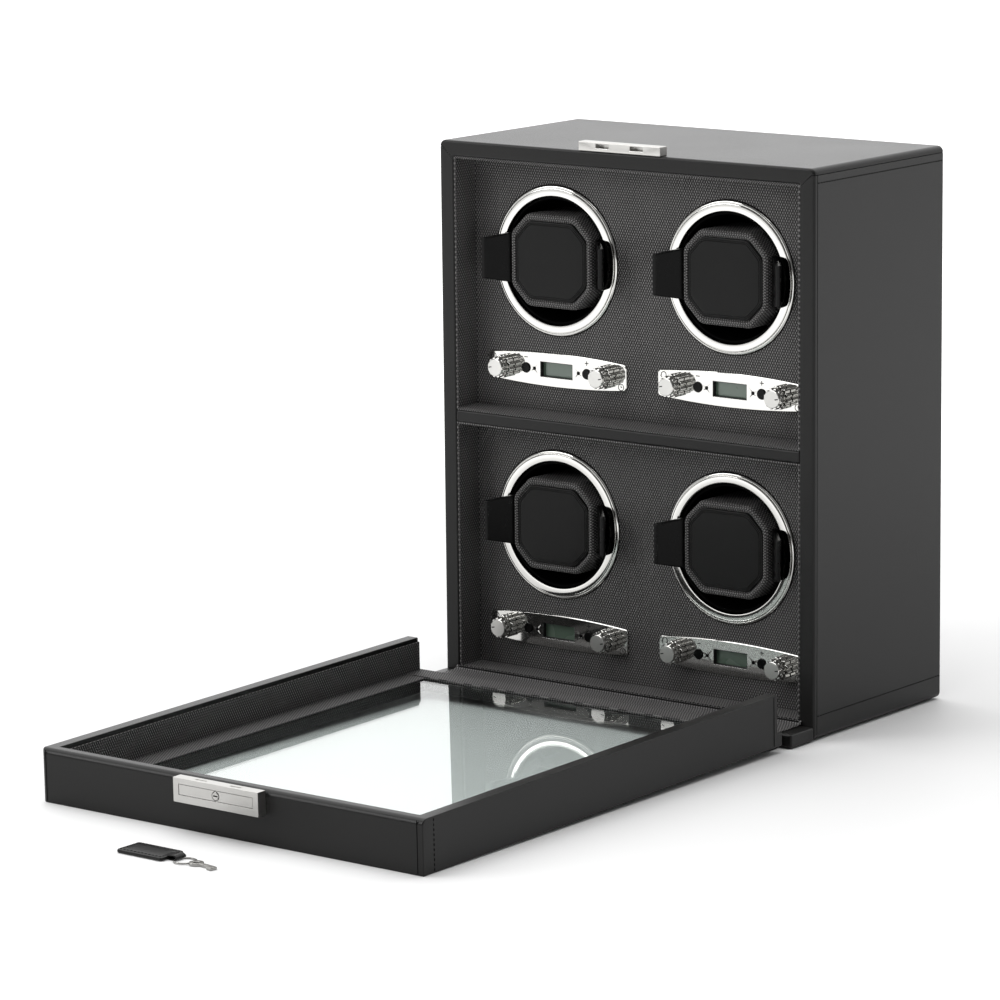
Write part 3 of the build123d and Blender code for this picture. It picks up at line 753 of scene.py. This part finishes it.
def octagonLoop(centre, halfWidth, halfHeight, cut, y, rounding):
    corners = [(halfWidth, halfHeight - cut), (halfWidth - cut, halfHeight), (cut - halfWidth, halfHeight),
               (-halfWidth, halfHeight - cut), (-halfWidth, cut - halfHeight), (cut - halfWidth, -halfHeight),
               (halfWidth - cut, -halfHeight), (halfWidth, cut - halfHeight)]
    corners = [Vector(corner) for corner in corners]
    points = []
    for i, corner in enumerate(corners):
        before, after = corners[i - 1], corners[(i + 1) % 8]
        toBefore = (before - corner).normalized()
        toAfter = (after - corner).normalized()
        reach = min(rounding * math.tan(math.pi / 8), (before - corner).length * 0.45,
                    (after - corner).length * 0.45)
        first, last = corner + toBefore * reach, corner + toAfter * reach
        for step in range(cuffShape["arcSteps"] + 1):
            t = step / cuffShape["arcSteps"]
            points.append(first * (1 - t) ** 2 + corner * 2 * t * (1 - t) + last * t ** 2)
        nextReach = min(rounding * math.tan(math.pi / 8), (after - corner).length * 0.45)
        start, end = last, after - toAfter * nextReach
        for step in range(1, cuffShape["edgeSteps"]):
            points.append(start.lerp(end, step / cuffShape["edgeSteps"]))
    return [Vector((centre.x + p.x, y, centre.z + p.y)) for p in points]


def loopLengths(loops):
    along = [0.0]
    first = loops[len(loops) // 2]
    for i in range(len(first)):
        along.append(along[-1] + (first[(i + 1) % len(first)] - first[i]).length)
    across = [0.0]
    for before, after in zip(loops, loops[1:]):
        across.append(across[-1] + (after[0] - before[0]).length)
    return along, across


def capBoth(made):
    bm = bmesh.new()
    bm.from_mesh(made.data)
    boundary = [edge for edge in bm.edges if edge.is_boundary]
    bmesh.ops.holes_fill(bm, edges=boundary, sides=0)
    bmesh.ops.recalc_face_normals(bm, faces=bm.faces)
    bm.to_mesh(made.data)
    bm.free()
    return made


def makeRim(place):
    low, high = boxOf(f"cuff_block_{place}")
    centre = (low + high) / 2
    halfWidth, halfHeight = (high.x - low.x) / 2, (high.z - low.z) / 2
    fullCut = cuffShape["cut"]
    loops = []
    for inset, depth in cuffShape["rimProfile"]:  # the crowned front, from the pocket out to the block's side
        inset *= mm
        loops.append(octagonLoop(centre, halfWidth - inset, halfHeight - inset, fullCut - 0.586 * inset,
                                 low.y + depth * mm, cuffShape["cornerRound"]))
    for y in (low.y + 12 * mm, low.y + 24 * mm, high.y - 1.2 * mm, high.y - 0.3 * mm):
        loops.append(octagonLoop(centre, halfWidth, halfHeight, fullCut, y, cuffShape["cornerRound"]))
    loops.append(octagonLoop(centre, halfWidth - 0.8 * mm, halfHeight - 0.8 * mm, fullCut - 0.4 * mm, high.y,
                             cuffShape["cornerRound"]))
    along, across = loopLengths(loops)
    made = loft(f"cuffRim_{place}", loops, textile, closedAcross=False,
                uvs=lambda i, r: (along[i], across[r]))
    return capBoth(made)


def makePad(place):
    low, high = boxOf(f"cuff_pad_{place}")
    centre = (low + high) / 2
    halfWidth, halfHeight = (high.x - low.x) / 2, (high.z - low.z) / 2
    loops = []
    for inset, proud in cuffShape["padProfile"]:
        inset = inset * mm
        y = high.y + 0.3 * mm - (cuffShape["padHeight"] + 0.3 * mm) * proud
        cut = max(cuffShape["padCut"] - 0.586 * inset, 1.0 * mm)
        loops.append(octagonLoop(centre, halfWidth - inset, halfHeight - inset, cut, y,
                                 cuffShape["cornerRound"] * 0.8))
    return capBoth(loft(f"cuffPad_{place}", loops, padLeather, closedAcross=False))


for place in moduleNames:
    rim = makeRim(place)
    finish(rim, f"cuff_{place}", "embossed_textile", f"cuff_block_{place}")
    pad = makePad(place)
    finish(pad, f"cuff_{place}", "pad_leather", f"cuff_pad_{place}")
    carrier = refined(f"cuff_carrier_{place}", f"cuffCarrier_{place}", blackGloss, 0.9 * mm, 3)
    finish(carrier, f"cuff_{place}", "black_gloss", f"cuff_carrier_{place}")
    low, high = boxOf(f"cuff_carrier_{place}")
    centre = (low + high) / 2
    lines = []
    for side in (-1, 1):
        for rib in range(cuffShape["ribCount"]):
            t = 0.2 + 0.7 * rib / (cuffShape["ribCount"] - 1)
            x = centre.x + side * (35.7 + 13.1 * t) * mm
            y = panelFront - (1.0 + 14.0 * t) * mm
            top = centre.z + (16.2 - 3.3 * t) * mm
            lines.append([(x, y, top), (x, y, top - cuffShape["ribLength"])])
    beads(f"cuffRibs_{place}", lines, cuffShape["ribRadius"], f"cuff_{place}", "black_gloss", blackGloss)
print("cuffs ready")


# ---- control plates, displays, knobs and buttons

plateShape = {
    "glyphThickness": 0.06 * mm,
    "glyphOffset": Vector((24.6 * mm, 0, 7.0 * mm)),
    "glyphLength": 2.9 * mm,
    "glyphWidth": 0.55 * mm,
    "clockPlace": Vector((52.0 * mm, 0, -6.0 * mm)),
    "clockRadius": 2.1 * mm,
    "arrowPlace": Vector((51.2 * mm, 0, 5.5 * mm)),
    "lampOffset": 17.8 * mm,
    "lampRadius": 1.25 * mm,
    "frameWall": 0.4 * mm,
    "windowHalf": (13.1 * mm, 5.05 * mm),
}
plateFront = boxOf("control_plates")[0].y
plates = refined("control_plates", "controlPlates", chrome, 0.35 * mm, 2)
finish(plates, "cabinet", "polished_chrome", "control_plates")
lcds = refined("lcd_modules", "displays", display, 0.15 * mm, 1)
finish(lcds, "cabinet", "display", "lcd_modules")


def plateCentre(place):
    left, right = centreOf(f"knob_turns_{place}"), centreOf(f"knob_direction_{place}")
    return Vector(((left.x + right.x) / 2, plateFront, (left.z + right.z) / 2))


def boxMesh(bm, low, high):
    made = bmesh.ops.create_cube(bm, size=1.0)
    for vertex in made["verts"]:
        for i in range(3):
            vertex.co[i] = low[i] if vertex.co[i] < 0 else high[i]


def flatDash(bm, centre, length, width, angle=0.0):
    made = bmesh.ops.create_cube(bm, size=1.0)
    turn = Matrix.Translation(centre) @ Matrix.Rotation(angle, 4, "Y")
    shape = turn @ Matrix.Diagonal((length, plateShape["glyphThickness"] * 2, width, 1.0))
    bmesh.ops.transform(bm, matrix=shape, verts=made["verts"])


def arcDashes(bm, centre, radius, start, end, count, width):
    span = math.radians(end - start) / count
    for i in range(count):
        angle = math.radians(start) + span * (i + 0.5)
        spot = centre + Vector((radius * math.cos(angle), 0, radius * math.sin(angle)))
        flatDash(bm, spot, radius * span * 1.15, width, -(angle + math.pi / 2))


def makeGlyphs():
    bm = bmesh.new()
    s = plateShape
    for place in moduleNames:
        centre = plateCentre(place)
        minus = centre + Vector((-s["glyphOffset"].x, 0, s["glyphOffset"].z))
        plus = centre + s["glyphOffset"]
        flatDash(bm, minus, s["glyphLength"], s["glyphWidth"])
        flatDash(bm, plus, s["glyphLength"], s["glyphWidth"])
        flatDash(bm, plus, s["glyphWidth"], s["glyphLength"])
        clock = centre + s["clockPlace"]
        arcDashes(bm, clock, s["clockRadius"], 0, 360, 20, 0.5 * mm)
        flatDash(bm, clock + Vector((0, 0, 0.5 * mm)), 0.45 * mm, 1.6 * mm)
        flatDash(bm, clock + Vector((0.4 * mm, 0, 0)), 1.1 * mm, 0.45 * mm)
        arrow = centre + Vector((-s["arrowPlace"].x, 0, s["arrowPlace"].z))
        arcDashes(bm, arrow, 1.9 * mm, -60, 200, 12, 0.5 * mm)
        flatDash(bm, arrow + Vector((-1.9 * mm, 0, -1.1 * mm)), 1.8 * mm, 0.5 * mm, math.radians(50))
        tick = centre + s["arrowPlace"]
        flatDash(bm, tick, 1.6 * mm, 0.5 * mm, math.radians(-30))
    return fromBmesh("plateMarks", bm, markBlack, smooth=False)


finish(makeGlyphs(), "cabinet", "black_matte")


def makeWindowFrames():
    bm = bmesh.new()
    wall = plateShape["frameWall"]
    halfX, halfZ = plateShape["windowHalf"]
    front, back = plateFront + 0.35 * mm, boardFront + 0.02 * mm
    for place in moduleNames:
        c = plateCentre(place)
        for side in (-1, 1):
            xs = sorted((c.x + side * halfX, c.x + side * (halfX - wall)))
            boxMesh(bm, (xs[0], front, c.z - halfZ), (xs[1], back, c.z + halfZ))
            zs = sorted((c.z + side * halfZ, c.z + side * (halfZ - wall)))
            boxMesh(bm, (c.x - halfX + wall, front, zs[0]), (c.x + halfX - wall, back, zs[1]))
    return fromBmesh("displayFrames", bm, blackMatte, smooth=False)


finish(makeWindowFrames(), "cabinet", "black_matte")


def makeLamps():
    bm = bmesh.new()
    for place in moduleNames:
        for side in (-1, 1):
            spot = plateCentre(place) + Vector((side * plateShape["lampOffset"], 0, 0))
            dome = Matrix.Translation(spot) @ Matrix.Diagonal((1.0, 0.4, 1.0, 1.0))
            bmesh.ops.create_uvsphere(bm, u_segments=20, v_segments=12, radius=plateShape["lampRadius"],
                                      matrix=dome)
    return fromBmesh("lampLenses", bm, blackGloss)


finish(makeLamps(), "cabinet", "black_gloss")

knobShape = {
    "flutes": 12,
    "fluteDepth": 1.1 * mm,
    "steps": 192,
    "discRadius": 5.5 * mm,
    "dashRadius": 3.7 * mm,
    "dashLength": 2.4 * mm,
    "dashWidth": 0.7 * mm,
    "outline": [(5.4, 0.0), (5.7, 0.3), (5.7, 1.4), (6.6, 1.4), (6.9, 1.7), (6.9, 5.5), (6.6, 5.8),
                (5.4, 5.8), (5.4, 6.8), (7.3, 6.8), (7.6, 7.1), (7.6, 12.1), (7.3, 12.4), (2.0, 12.4)],
}


def fluteTree():
    sizes = {"Flutes": 12, "Flute Depth": 0.001, "Plain Radius": 0.0058, "Full Radius": 0.0069}
    tree, source, target = newTree("knobFlutes", sizes)
    place = geo(tree, "GeometryNodeInputPosition")
    split = geo(tree, "ShaderNodeSeparateXYZ", None, n0=place.outputs[0])
    x, z = Maths(tree, split.outputs[0]), Maths(tree, split.outputs[2])
    radius = (x * x + z * z) ** 0.5
    angle = z.join("ARCTAN2", x)
    scallop = (angle * Maths(tree, source.outputs["Flutes"])).join("COSINE") * 0.5 + 0.5
    plain, full = source.outputs["Plain Radius"], source.outputs["Full Radius"]
    reach = node(tree, "ShaderNodeMapRange", None, radius, Maths(tree, plain), Maths(tree, full))
    cut = scallop ** 1.6 * reach * Maths(tree, source.outputs["Flute Depth"])
    scale = cut / radius * -1.0
    push = geo(tree, "ShaderNodeCombineXYZ", None, n0=(x * scale).socket, n2=(z * scale).socket)
    moved = geo(tree, "GeometryNodeSetPosition", None, Geometry=source.outputs["Geometry"],
                Offset=push.outputs[0])
    closeTree(tree, source, target, moved.outputs[0])
    return tree


knobFlutes = fluteTree()


def makeKnob(kind, place, dashSide):
    low, high = boxOf(f"knob_{kind}_{place}")
    centre = (low + high) / 2
    face, back = low.y, high.y
    loops = []
    origin = Vector((0, 0, 0))
    for radius, depth in knobShape["outline"]:
        loops.append(circleLoop(origin, radius * mm, depth * mm, knobShape["steps"]))
    loops.append(circleLoop(origin, 2.0 * mm, back - face, knobShape["steps"]))
    base = capBoth(loft("knobBase", loops, chrome, closedAcross=False, smooth=False))
    made = runTree(knobFlutes, f"knob_{kind}_{place}_chrome", base.data, chrome,
                   {"Flutes": knobShape["flutes"], "Flute Depth": knobShape["fluteDepth"]})
    made.data.transform(Matrix.Translation((centre.x, face, centre.z)))
    shadeSmooth(made, 32.0, weighted=False)
    made.data.materials.append(satinChrome)
    for polygon in made.data.polygons:
        reach = Vector((polygon.center.x - centre.x, polygon.center.z - centre.z)).length
        if polygon.center.y < face + 0.05 * mm and reach < knobShape["discRadius"]:
            polygon.material_index = 1
    finish(made, f"knob_{kind}_{place}", "polished_chrome", f"knob_{kind}_{place}")
    bm = bmesh.new()
    spot = Vector((centre.x + dashSide * knobShape["dashRadius"], face, centre.z + 0.2 * mm))
    flatDash(bm, spot, knobShape["dashLength"], knobShape["dashWidth"], math.radians(-12))
    dash = fromBmesh(f"knobDash_{kind}_{place}", bm, markBlack, smooth=False)
    finish(dash, f"knob_{kind}_{place}", "black_matte")


for place in moduleNames:
    makeKnob("turns", place, -1)
    makeKnob("direction", place, 1)
    for kind in ("minus", "plus"):
        source = f"button_{kind}_{place}"
        finish(refined(source, f"{source}_cap", blackGloss, 0.25 * mm, 2), source, "black_gloss", source)
print("controls ready")


# ---- sill cloth and hinge leather

clothShape = {
    "halfWidth": 137.5 * mm,
    "thickness": 0.5 * mm,
    "columns": 40,
    "path": [(-72.0, 12.75), (-73.0, 12.5), (-73.9, 11.6), (-74.8, 10.6), (-77.0, 10.15), (-82.0, 10.1),
             (-88.0, 10.1), (-94.0, 10.15), (-97.5, 10.25), (-100.5, 10.1), (-103.0, 10.4), (-105.5, 11.8),
             (-108.0, 14.3), (-110.0, 16.0), (-112.0, 16.75)],
    "doorPath": [6.5, 9.0, 12.0, 16.0, 19.6],
}
leatherStrip = {
    "halfWidth": 137.5 * mm,
    "thickness": 0.9 * mm,
    "path": [(-98.4, 8.6), (-98.6, 6.0), (-98.7, 3.6), (-99.2, 2.0), (-100.6, 1.05), (-103.0, 0.75),
             (-106.0, 0.75), (-108.5, 1.2), (-110.8, 2.4), (-112.6, 3.6), (-114.5, 4.3)],
}


def smoothPath(points, perSpan=4):
    made = []
    for i in range(len(points) - 1):
        a, b, c, d = (points[max(i - 1, 0)], points[i], points[i + 1], points[min(i + 2, len(points) - 1)])
        for step in range(perSpan):
            t = step / perSpan
            made.append(0.5 * ((2 * b) + (c - a) * t + (2 * a - 5 * b + 4 * c - d) * t ** 2
                               + (3 * b - a - 3 * c + d) * t ** 3))
    return made + [points[-1]]


def makeStrip(name, path, halfWidth, thickness, columns, material):
    path = smoothPath(path)
    distance = [0.0]
    for before, after in zip(path, path[1:]):
        distance.append(distance[-1] + (after - before).length)
    bm = bmesh.new()
    layer = bm.loops.layers.uv.new("weave")
    sides = []
    for level in (0.5, -0.5):
        rows = []
        for i, point in enumerate(path):
            ahead, behind = path[min(i + 1, len(path) - 1)], path[max(i - 1, 0)]
            along = (ahead - behind).normalized()
            normal = Vector((-along.y, along.x))
            spot = point - normal * thickness * level * -1
            rows.append([bm.verts.new(((2 * c / columns - 1) * halfWidth, spot.x, spot.y))
                         for c in range(columns + 1)])
        sides.append(rows)

    def addFace(corners, uvs):
        face = bm.faces.new(corners)
        for loop, uv in zip(face.loops, uvs):
            loop[layer].uv = uv

    xs = [(2 * c / columns - 1) * halfWidth for c in range(columns + 1)]
    for rows in sides:
        for r in range(len(rows) - 1):
            for c in range(columns):
                addFace((rows[r][c], rows[r][c + 1], rows[r + 1][c + 1], rows[r + 1][c]),
                        ((xs[c], distance[r]), (xs[c + 1], distance[r]), (xs[c + 1], distance[r + 1]),
                         (xs[c], distance[r + 1])))
    top, bottom = sides
    last = len(path) - 1
    for r in (0, last):
        for c in range(columns):
            addFace((top[r][c], top[r][c + 1], bottom[r][c + 1], bottom[r][c]), ((xs[c], distance[r]),) * 4)
    for c in (0, columns):
        for r in range(last):
            addFace((top[r][c], top[r + 1][c], bottom[r + 1][c], bottom[r][c]), ((xs[c], distance[r]),) * 4)
    made = fromBmesh(name, bm, material)
    return made, distance[-1]


def makeCloth():
    s = clothShape
    path = [Vector((y * mm, z * mm)) for y, z in s["path"]]
    for u in s["doorPath"]:
        spot = doorPoint(0, u * mm, 11.3 * mm + 0.3 * mm)
        path.append(Vector((spot.y, spot.z)))
    made, length = makeStrip("sillCloth", path, s["halfWidth"], s["thickness"], s["columns"], textile)
    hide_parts("sill_cloth")
    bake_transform(made)
    return length


def makeHingeStrip():
    s = leatherStrip
    path = [Vector((y * mm, z * mm)) for y, z in s["path"]]
    made, length = makeStrip("hingeLeather", path, s["halfWidth"], s["thickness"], 24, leather)
    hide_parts("hinge_leather")
    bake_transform(made)
    return length


clothLength = makeCloth()
stripLength = makeHingeStrip()
seamX = shellHigh.x - 11.2 * mm
floorSeam = [(-seamX, -73.9 * mm, 12.0 * mm), (seamX, -73.9 * mm, 12.0 * mm)]
beads("floorSeam", [floorSeam], 0.5 * mm, "cabinet", "black_leather", edgePaintAndPaintedShadow)
floorRow = [(-seamX, -73.2 * mm, 13.0 * mm), (seamX, -73.2 * mm, 13.0 * mm)]
stitches("floorStitches", [floorRow], "cabinet", "black_leather",
         {"Stitch Length": 0.0022, "Thread Radius": 0.0003, "Pitch": 0.0032})
print("cloth lengths", round(clothLength, 4), round(stripLength, 4))


# ---- door

doorShape = {
    "edge": 1.3 * mm,
    "crease": 0.28 * mm,
    "hingeCrease": 9.2 * mm,
    "frontCrease": 142.3 * mm,
}
tray = refined("door_tray", "doorLeather", leather, doorShape["edge"], 3, square=doorInverse)
finish(tray, "door", "black_leather", "door_tray")
doorTextile = refined("door_liner", "doorTextile", textile, 0.3 * mm, 1, square=doorInverse)
weaveMap(doorTextile, doorInverse)
finish(doorTextile, "door", "embossed_textile", "door_liner")
pane = refined("glass_pane", "windowGlass", glass, 0.2 * mm, 1, square=doorInverse)
finish(pane, "door", "clear_glass", "glass_pane")

trayLow, trayHigh = doorBoxOf("door_tray")
wallTop = trayHigh.z
farEnd = -trayLow.y
creaseLines = []
for side in (-1, 1):
    x = side * trayHigh.x
    u = doorShape["hingeCrease"]
    creaseX = side * doorShape["frontCrease"]
    creaseLines.append([doorPoint(x, u, 1.0 * mm), doorPoint(x, u, wallTop - 0.8 * mm)])
    creaseLines.append([doorPoint(creaseX, farEnd, 1.0 * mm),
                        doorPoint(creaseX, farEnd, wallTop - 0.8 * mm)])
beads("doorCreases", creaseLines, doorShape["crease"], "door", "black_leather", edgePaintAndPaintedShadow)
seams = [[doorPoint(side * trayHigh.x, farEnd - 10 * mm, 2 * mm),
          doorPoint(side * trayHigh.x, farEnd - 10 * mm, wallTop - 2 * mm)] for side in (-1, 1)]
stitches("doorStitches", seams, "door", "black_leather",
         {"Stitch Length": 0.002, "Thread Radius": 0.0004, "Pitch": 0.0029})

lockParts = [("lock_body", "lockCase", 1.0 * mm, 4, "door", "satin_nickel"),
             ("push_panel", "pushPanel", 0.2 * mm, 2, "push_panel", "satin_nickel"),
             ("lock_cylinder", "keyCylinder", 0.15 * mm, 1, "lock_cylinder", "satin_nickel"),
             ("latch_bolts", "latchBolts", 0.15 * mm, 1, "latch_bolts", "satin_nickel"),
             ("strike_plate", "strikePlate", 0.5 * mm, 2, "cabinet", "satin_nickel")]
for source, name, bevel, segments, body, slot in lockParts:
    square = Matrix.Identity(4) if body == "cabinet" else doorInverse
    finish(refined(source, name, nickel, bevel, segments, square=square), body, slot, source)
print("door ready")


# ---- key, ring and fob

fobShape = {
    "edge": 0.9 * mm,
    "thickness": 2.3 * mm,
    "profile": [(1.2, 0.0), (0.3, 0.1), (0.0, 0.3), (0.0, 0.6), (0.25, 0.85), (0.9, 1.0), (1.5, 0.98),
                (1.9, 0.9), (2.3, 1.0), (4.0, 1.08), (6.5, 1.14), (8.5, 1.16)],
    "strapEnd": 4.0 * mm,
    "strapThickness": 0.8 * mm,
    "stitchInset": 2.1 * mm,
    "strapWidth": 8.5 * mm,
    "ringTurns": 2,
    "ringWire": 0.42 * mm,
}


def makeFob():
    s = fobShape
    low, high = boxOf("key_fob")
    centre = (low + high) / 2
    half = (high - low) / 2
    bodyHalf = half.x - s["strapEnd"] / 2
    bodyCentre = centre.x - s["strapEnd"] / 2
    loops = []
    for inset, level in s["profile"]:
        inset *= mm
        halfX, halfY = bodyHalf - inset, half.y - inset
        radius = max(1.8 * mm - inset * 0.3, 0.5 * mm)
        loop = []
        for cornerX, cornerY, start in ((1, 1, 0), (-1, 1, 90), (-1, -1, 180), (1, -1, 270)):
            for step in range(7):
                angle = math.radians(start + 15 * step)
                x = bodyCentre + cornerX * (halfX - radius) + radius * math.cos(angle)
                y = centre.y + cornerY * (halfY - radius) + radius * math.sin(angle)
                bend = 0.2 * mm * ((x - bodyCentre) / bodyHalf) ** 2
                loop.append(Vector((x, y, low.z + s["thickness"] * level + bend)))
        loops.append(loop)
    made = capBoth(loft("fobLeather", loops, leather, closedAcross=False))
    finish(made, "key_set", "black_leather", "key_fob")
    halfX, halfY = bodyHalf - s["stitchInset"], half.y - s["stitchInset"]
    top = low.z + s["thickness"] * 0.98 + 0.15 * mm
    corners = [(bodyCentre - halfX, centre.y - halfY), (bodyCentre + halfX, centre.y - halfY),
               (bodyCentre + halfX, centre.y + halfY), (bodyCentre - halfX, centre.y + halfY)]
    loop = [(x, y, top) for x, y in corners]
    stitches("fobStitches", [loop + loop[:1]], "key_set", "black_leather",
             {"Stitch Length": 0.0018, "Thread Radius": 0.0003, "Pitch": 0.0027})
    return bodyCentre + bodyHalf, centre.y, low.z


def makeStrap(start, middle, base):
    s = fobShape
    end = boxOf("split_ring")[0].x + 1.0 * mm
    path = [Vector((start - 6 * mm, base + 1.9 * mm)), Vector((start - 1 * mm, base + 2.4 * mm)),
            Vector((start + 2.5 * mm, base + 3.0 * mm)), Vector((end, base + 2.9 * mm)),
            Vector((end + 1.6 * mm, base + 1.7 * mm)), Vector((end, base + 0.5 * mm)),
            Vector((start + 2.5 * mm, base + 0.45 * mm)), Vector((start - 1 * mm, base + 0.6 * mm))]
    path = smoothPath(path, 5)
    bm = bmesh.new()
    rows = []
    for i, point in enumerate(path):
        along = (path[min(i + 1, len(path) - 1)] - path[max(i - 1, 0)]).normalized()
        normal = Vector((-along.y, along.x)) * s["strapThickness"] / 2
        edge = s["strapWidth"] / 2
        profile = [(point + normal, edge - 0.2 * mm), (point + normal * 0.3, edge),
                   (point - normal, edge - 0.1 * mm)]
        section = [(p.x, middle + w, p.y) for p, w in profile]
        section += [(p.x, middle - w, p.y) for p, w in reversed(profile)]
        rows.append([bm.verts.new(p) for p in section])
    for before, after in zip(rows, rows[1:]):
        for i in range(6):
            bm.faces.new((before[i], before[(i + 1) % 6], after[(i + 1) % 6], after[i]))
    bm.faces.new(rows[0])
    bm.faces.new(rows[-1])
    finish(fromBmesh("fobStrap", bm, leather), "key_set", "black_leather")


makeStrap(*makeFob())


def makeSplitRing():
    low, high = boxOf("split_ring")
    centre = (low + high) / 2
    wire = fobShape["ringWire"]
    radius = (high.x - low.x) / 2 - 0.8 * mm
    count = 64 * fobShape["ringTurns"]
    path = []
    for i in range(count + 1):
        angle = 2 * math.pi * fobShape["ringTurns"] * i / count + 0.7
        rise = wire + (high.z - low.z - 2 * wire) * i / count
        path.append((centre.x + radius * math.cos(angle), centre.y + radius * math.sin(angle), low.z + rise))
    made = beads("splitRing", [path], wire, "key_set", "satin_nickel", keyMetal)
    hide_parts("split_ring")


makeSplitRing()
finish(refined("key", "cabinetKey", keyMetal, 0.4 * mm, 3), "key_set", "satin_nickel", "key")
print("key ready")


# ---- nodes shown as they are in the solids

plainNodes = {
    "base_felt": felt,
    "back_cover": blackMatte,
    "cover_screws": steel,
    "dc_inlet": blackGloss,
    "drum_housings": blackMatte,
    "gear_motors": steel,
    "control_boards": boardGreen,
}
plainNodes.update({f"drum_{place}": drumBlack for place in moduleNames})
for name, material in plainNodes.items():
    nodes[name].data.materials.clear()
    nodes[name].data.materials.append(material)
print("plain nodes ready")


# ---- stage, lights and camera

studio = {
    "frontLevel": 0.20,
    "backdropLevel": 1.5,
    "ceilingLevel": 0.4,
    "overheadPower": 46.0,
    "frontPower": 26.0,
    "floorColour": (0.74, 0.74, 0.74),
    "floorGlow": 0.6,
}


def makeStage():
    floorMesh = bpy.data.meshes.new("studioFloor")
    reach = 30.0
    corners = [(-reach, -reach, 0), (reach, -reach, 0), (reach, reach, 0), (-reach, reach, 0)]
    floorMesh.from_pydata(corners, [], [(0, 1, 2, 3)])
    material, tree, shader = newMaterial("paleFloor")
    away = node(tree, "ShaderNodeVectorMath", {"operation": "LENGTH"}, objectPoint(tree), output=1)
    glow = mixColours(tree, away.step(0.3, 1.3), (0.0, 0.0, 0.0), (1.0, 1.0, 1.0))
    setShader(tree, shader, colour=studio["floorColour"], roughness=0.6, specular=0.2)
    tree.links.new(glow.socket, shader.inputs["Emission Color"])
    shader.inputs["Emission Strength"].default_value = studio["floorGlow"]
    floor = newObject("studioFloor", floorMesh, material)

    world = bpy.data.worlds.new("studio")
    world.use_nodes = True
    tree = world.node_tree
    direction = node(tree, "ShaderNodeTexCoord", None, output=0)
    ahead = Vector((-0.61, 0.79, 0.05)).normalized()
    toward = node(tree, "ShaderNodeVectorMath", {"operation": "DOT_PRODUCT"}, direction, ahead, output=1)
    _, _, height = parts(direction, tree)
    level = toward.step(-0.1, 0.55, studio["frontLevel"], studio["backdropLevel"])
    level = level + height.step(0.45, 0.9, 0.0, studio["ceilingLevel"])
    tree.links.new(level.socket, tree.nodes["Background"].inputs[1])
    tree.nodes["Background"].inputs[0].default_value = (1.0, 1.0, 1.0, 1.0)
    bpy.context.scene.world = world


def addLamp(name, place, target, size, power):
    lamp = bpy.data.lights.new(name, "AREA")
    lamp.shape = "SQUARE"
    lamp.size = size
    lamp.energy = power
    holder = bpy.data.objects.new(name, lamp)
    holder.location = place
    holder.rotation_euler = (Vector(target) - Vector(place)).to_track_quat("-Z", "Y").to_euler()
    bpy.context.scene.collection.objects.link(holder)


cameraSetup = {
    "lens": 172.69,
    "azimuth": math.radians(38.012),
    "elevation": math.radians(10.882),
    "roll": math.radians(-0.648),
    "place": (1.78798, shellLow.y - 2.41555, 0.71666),
}


def makeCamera():
    s = cameraSetup
    lens = bpy.data.cameras.new("camera")
    lens.sensor_width = 36.0
    lens.lens = s["lens"]
    lens.clip_end = 100.0
    camera = bpy.data.objects.new("camera", lens)
    turn = Matrix.Rotation(s["azimuth"], 4, "Z") @ Matrix.Rotation(math.pi / 2 - s["elevation"], 4, "X")
    camera.matrix_world = Matrix.Translation(s["place"]) @ turn @ Matrix.Rotation(s["roll"], 4, "Z")
    bpy.context.scene.collection.objects.link(camera)
    bpy.context.scene.camera = camera


makeStage()
addLamp("overheadLamp", (-0.2, -0.5, 2.6), (0, -0.1, 0.1), 2.6, studio["overheadPower"])
addLamp("frontLamp", (-1.9, -2.2, 1.5), (0, -0.1, 0.15), 1.2, studio["frontPower"])
makeCamera()
bpy.context.scene.view_settings.view_transform = "Standard"
print("stage ready")
